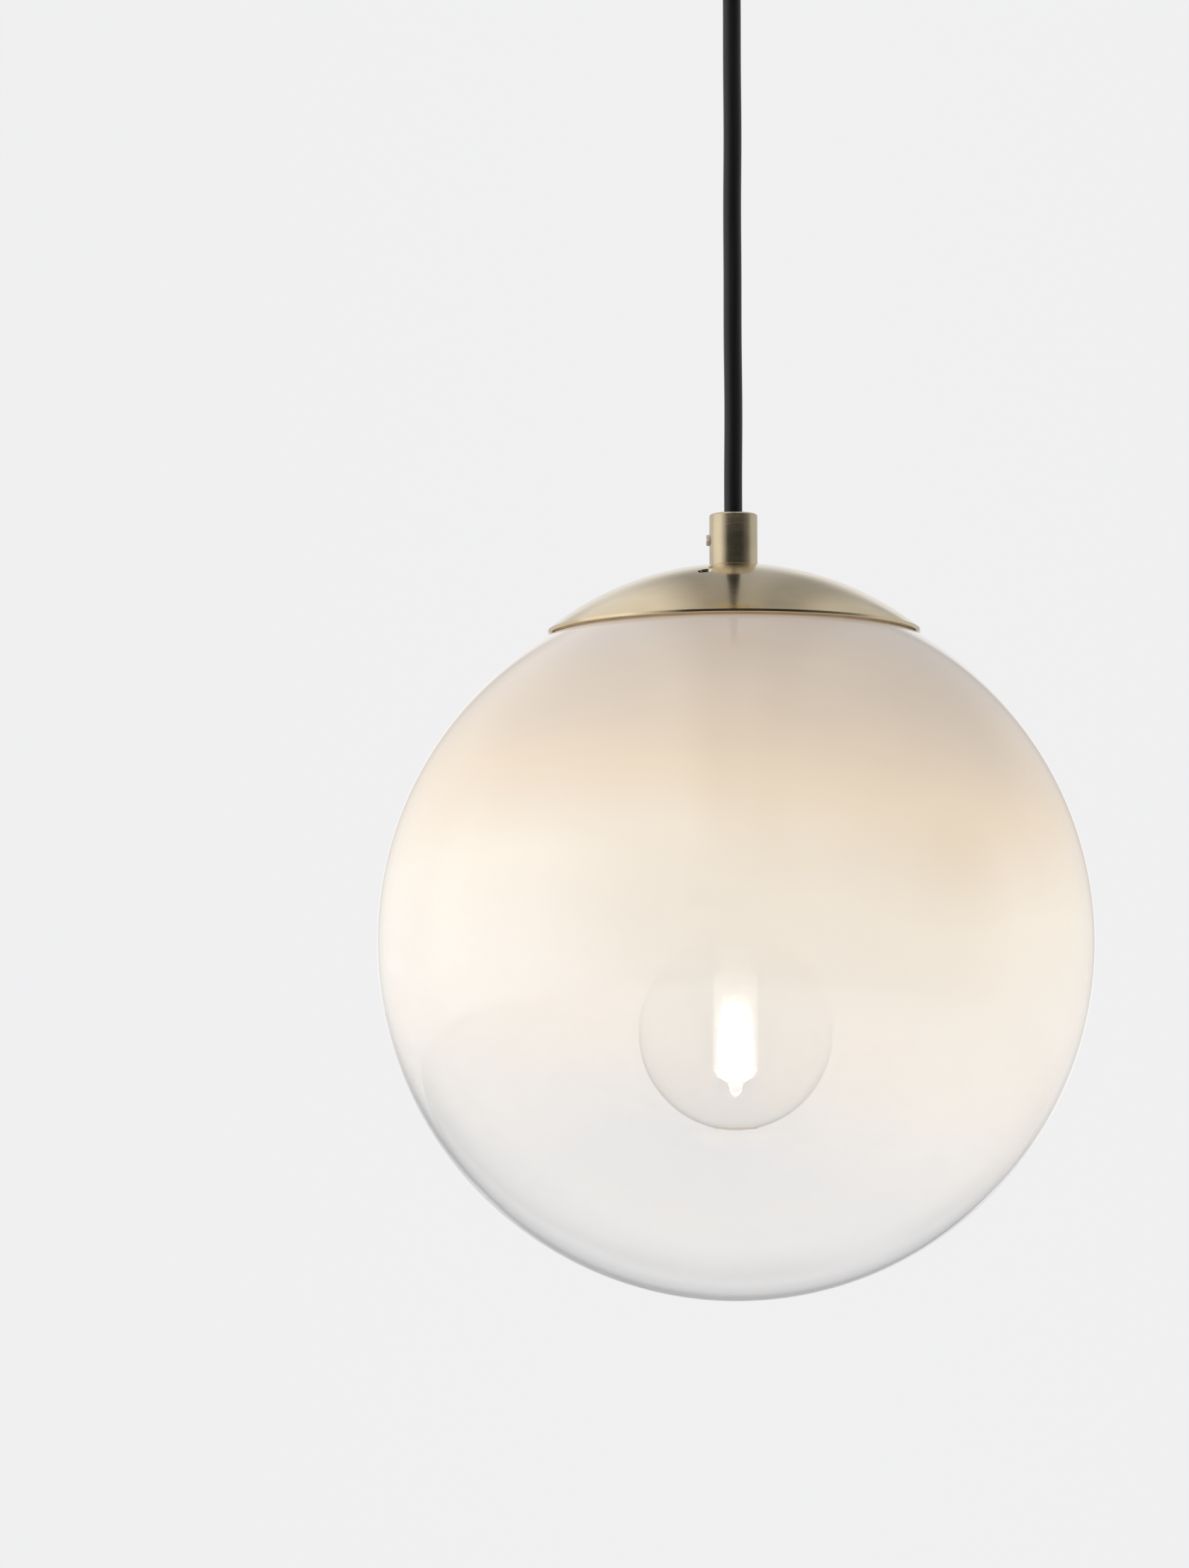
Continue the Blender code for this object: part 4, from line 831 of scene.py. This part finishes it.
def threaded(name, radius, low, high, wall, materials):
    """A rolled sheet thread: both faces follow one helix."""
    shape = bmesh.new()
    rows = max(8, round((high - low) / THREAD_PITCH * THREAD_ROWS))
    skins = []
    for face_radius in (radius, radius - wall):
        rings = []
        for k in range(rows + 1):
            z = low + (high - low) * k / rows
            fade = min(1.0, (z - low) / THREAD_RUN_OUT, (high - z) / THREAD_RUN_OUT)
            ring = []
            for i in range(THREAD_SIDES):
                angle = math.tau * i / THREAD_SIDES
                phase = math.tau * (z - TIP_Z) / THREAD_PITCH + angle
                r = face_radius - THREAD_RISE * (1.0 - fade * (1.0 + math.cos(phase)) / 2)
                ring.append(shape.verts.new((r * math.cos(angle), r * math.sin(angle), z)))
            rings.append(ring)
        skins.append(rings)
    outer, inner = skins
    around = outer + inner[::-1]
    for one, two in zip(around, around[1:] + around[:1]):
        bridge(shape, one, two)
    return finish_mesh(shape, name, materials, 50.0)


def make_holder_body():
    low, high, radius = span("holder_body")
    inside = radius - BODY_WALL
    lip = span("bulb_cap")[2] + 3 * CLEARANCE
    body = eased([
        (radius, high, 0.0004), (radius, low, 0.0012), (lip, low, 0.0004), (lip, low + BODY_LIP, 0.0002),
        (inside, low + BODY_LIP, 0.0), (inside, high, 0.0003),
    ])
    settle(turned("lampholder_body", body, ROUND, [BAKELITE]), "head", "black_plastic", "holder_body")


def make_holder_cap():
    low, high, radius = span("holder_cap")
    inside = radius - COVER_WALL
    side, cone = low + COVER_SIDE, low + COVER_CONE
    cap = eased([
        (TUBE_HOLE, high, 0.0003), (COVER_BOSS, high, 0.0008), (COVER_BOSS, cone, 0.001),
        (radius, side, 0.003), (radius, low, 0.0004), (inside, low, 0.0003),
        (inside, side - COVER_WALL, 0.002), (COVER_BOSS, cone - COVER_WALL, 0.0),
        (TUBE_HOLE, cone - COVER_WALL, 0.0),
    ], 6)
    settle(turned("lampholder_cap", cap, ROUND, [BAKELITE]), "head", "black_plastic", "holder_cap")


def make_threads():
    """The holder's screw shell, and the lamp's cap in it."""
    low, high, radius = span("screw_shell")
    shell = threaded("socket_thread", radius, low, high, SHELL_SHEET, [PLAIN])
    settle(shell, "head", "plain_brass", "screw_shell")
    low, high, radius = span("bulb_cap")
    cap = threaded("lamp_cap_thread", radius, low, high, CAP_SHEET, [PLAIN])
    settle(cap, "bulb", "plain_brass", "bulb_cap")


def make_lamp_foot():
    """The black glass that closes the lamp's cap, and the contact on it."""
    low, high, radius = span("bulb_insulator")
    glass = eased([
        (0.0, high, 0.0), (0.0058, high, 0.0008), (radius, low + 0.0012, 0.0008), (radius, low, 0.0),
        (0.0, low, 0.0),
    ], 6, closed=False)
    settle(turned("lamp_vitrite", glass, SMALL_ROUND, [VITRITE]), "bulb", "vitrite", "bulb_insulator")
    low, high, radius = span("bulb_contact")
    contact = eased([
        (0.0, high, 0.0), (0.6 * radius, high, 0.001), (radius, (low + high) / 2, 0.0004),
        (radius, low, 0.0), (0.0, low, 0.0),
    ], 6, closed=False)
    settle(turned("lamp_contact", contact, SMALL_ROUND, [ZINC]), "bulb_foot", "steel", "bulb_contact")


make_holder_body()
make_holder_cap()
make_threads()
make_lamp_foot()


# ---------------------------------------------------------------- CAD pieces that stay, with softened edges
SOFT_EDGE = 0.00012
WAYS = ("live", "neutral", "earth")
STEEL_NODES = (
    "ceiling_bracket", "canopy_nipple", "canopy_washer", "canopy_nut", "block_screw", "stem_washer",
    "stem_nut", "carrier", "carrier_nut",
    *(f"{piece}_{i}" for piece in ("spring_clip", "clip_rivet") for i in (1, 2, 3)),
    *(f"holder_screw_{way}" for way in WAYS),
)
BRASS_NODES = (
    "canopy_screw_1", "canopy_screw_2", "terminal_screw_1", "terminal_screw_2", "terminal_screw_3", "stem",
    "centre_contact", *(f"holder_terminal_{way}" for way in WAYS),
)
FINISHES = {
    **dict.fromkeys(STEEL_NODES, ZINC),
    **dict.fromkeys(BRASS_NODES, PLAIN),
    **{f"{run}_{way}": CORE_COLOURS[way] for run in ("top_core", "core") for way in WAYS},
    "terminal_block": WHITE,
    "cord_tail": JACKET,
    "seal_ring": SILICONE,
    "holder_insulator": CERAMIC,
}


def soften(obj, width):
    """Rounds the sharp edges of a CAD piece without touching its mesh."""
    weld = obj.modifiers.new("Weld", "WELD")
    weld.merge_threshold = 1e-6
    bevel = obj.modifiers.new("Bevel", "BEVEL")
    bevel.width = width
    bevel.segments = 2
    bevel.limit_method = "ANGLE"
    bevel.angle_limit = math.radians(SHARP)


for node, finish in FINISHES.items():
    piece = NODES[node]
    piece.data.materials.clear()
    piece.data.materials.append(finish)
    soften(piece, SOFT_EDGE)


# ---------------------------------------------------------------- light and surroundings
FLOOR_DROP = 0.65                   # from the globe down to the floor
FLOOR_RADIUS = 3.0
HORIZON = (0.34, 0.58)              # the surroundings' tones give way to the high ones between these
COOL = (1.0, 1.001, 1.012)          # the surroundings' faint blue


def lamp(name, kind, power, at, colour, size, aim=None):
    """A light that the pieces don't mirror: a rectangle that is aimed, or a small ball."""
    data = bpy.data.lights.new(name, kind)
    data.energy = power
    data.color = colour
    if kind == "AREA":
        data.shape = "RECTANGLE"
        data.size, data.size_y = size
    else:
        data.shadow_soft_size = size
    obj = bpy.data.objects.new(name, data)
    bpy.context.scene.collection.objects.link(obj)
    obj.location = at
    obj.visible_glossy = False
    if aim is not None:
        obj.rotation_euler = (Vector(aim) - Vector(at)).to_track_quat("-Z", "Y").to_euler()
    return obj


ROUND_TONES = (                     # (compass degrees from the lens, left negative; brightness)
    (-180, 0.872),
    (-167, 0.868),
    (-164, 0.50),
    (-156, 0.64),
    (-140, 0.72),
    (-116, 0.72),
    (-104, 1.04),
    (-66, 1.08),
    (-45, 0.50),
    (-30, 0.05),
    (40, 0.04),
    (58, 0.11),
    (76, 0.20),
    (98, 0.63),
    (140, 0.62),
    (156, 0.58),
    (164, 0.46),
    (167, 0.868),
    (180, 0.872),
)
HIGH_TONES = (                      # (direction along +X, brightness) high above
    (-1.0, 0.60),
    (-0.50, 0.86),
    (-0.24, 0.86),
    (-0.17, 0.62),
    (-0.09, 0.34),
    (0.0, 0.38),
    (0.06, 0.45),
    (0.13, 0.35),
    (0.20, 0.37),
    (0.29, 0.60),
    (0.42, 0.60),
    (1.0, 0.50),
)


def tone_ramp(tree, source, low, high, tones):
    """A grey ramp in the world from (value, brightness) pairs."""
    scaled = add_node(tree, "MapRange", {"Value": source, "From Min": low, "From Max": high})
    stops = [((value - low) / (high - low), [tone * part for part in COOL]) for value, tone in tones]
    return add_ramp(tree, scaled.outputs["Result"], stops)


def add_surroundings():
    """What the brass and the glass mirror: soft panels all round, and others high above."""
    world = bpy.data.worlds.new("studio")
    world.use_nodes = True
    bpy.context.scene.world = world
    tree = world.node_tree
    axes = add_node(tree, "SeparateXYZ", {0: add_node(tree, "TexCoord").outputs["Generated"]}).outputs
    forward = add_node(tree, "Math", {0: axes["Y"], 1: -1.0}, operation="MULTIPLY").outputs[0]
    compass = add_node(tree, "Math", {0: axes["X"], 1: forward}, operation="ARCTAN2").outputs[0]
    degrees = add_node(tree, "Math", {0: compass}, operation="DEGREES").outputs[0]
    around = tone_ramp(tree, degrees, -180.0, 180.0, ROUND_TONES)
    above = tone_ramp(tree, axes["X"], -1.0, 1.0, HIGH_TONES)
    heights = {"Value": axes["Z"], "From Min": HORIZON[0], "From Max": HORIZON[1]}
    rise = add_node(tree, "MapRange", heights, interpolation_type="SMOOTHSTEP").outputs["Result"]
    both = add_node(tree, "Mix", {0: rise, 6: around, 7: above}, data_type="RGBA")
    tree.links.new(both.outputs[2], tree.nodes["Background"].inputs["Color"])


def add_studio():
    middle = (0.0, 0.0, GLOBE_Z)
    lamp("key", "AREA", 1.6, (-1.5, -0.9, 0.25), (1.0, 0.98, 0.96), (1.0, 1.4), middle)
    lamp("fill", "AREA", 4.0, (1.6, -0.7, 0.0), (1.0, 0.98, 0.95), (0.8, 1.4), middle)
    lamp("top", "AREA", 3.0, (-0.2, 0.9, 1.3), (1.0, 0.98, 0.95), (1.6, 1.0), middle)

    shape = bmesh.new()
    bmesh.ops.create_circle(shape, cap_ends=True, segments=ROUND, radius=FLOOR_RADIUS,
                            matrix=Matrix.Translation((0.0, 0.0, GLOBE_LOW - FLOOR_DROP)))
    ground = Shader("studio_floor", Roughness=0.7)
    ground.mottle(ground.noise(3.0), (0.86, 0.86, 0.86), (0.88, 0.88, 0.88))
    finish_mesh(shape, "studio_floor", [ground.material])

    filament = lamp("filament_light", "POINT", 1.2, (0.0, 0.0, BULB_Z + 0.004), (1.0, 0.82, 0.60), 0.009)
    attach(filament, "bulb")


add_surroundings()
add_studio()
bpy.context.scene.view_settings.view_transform = "Standard"
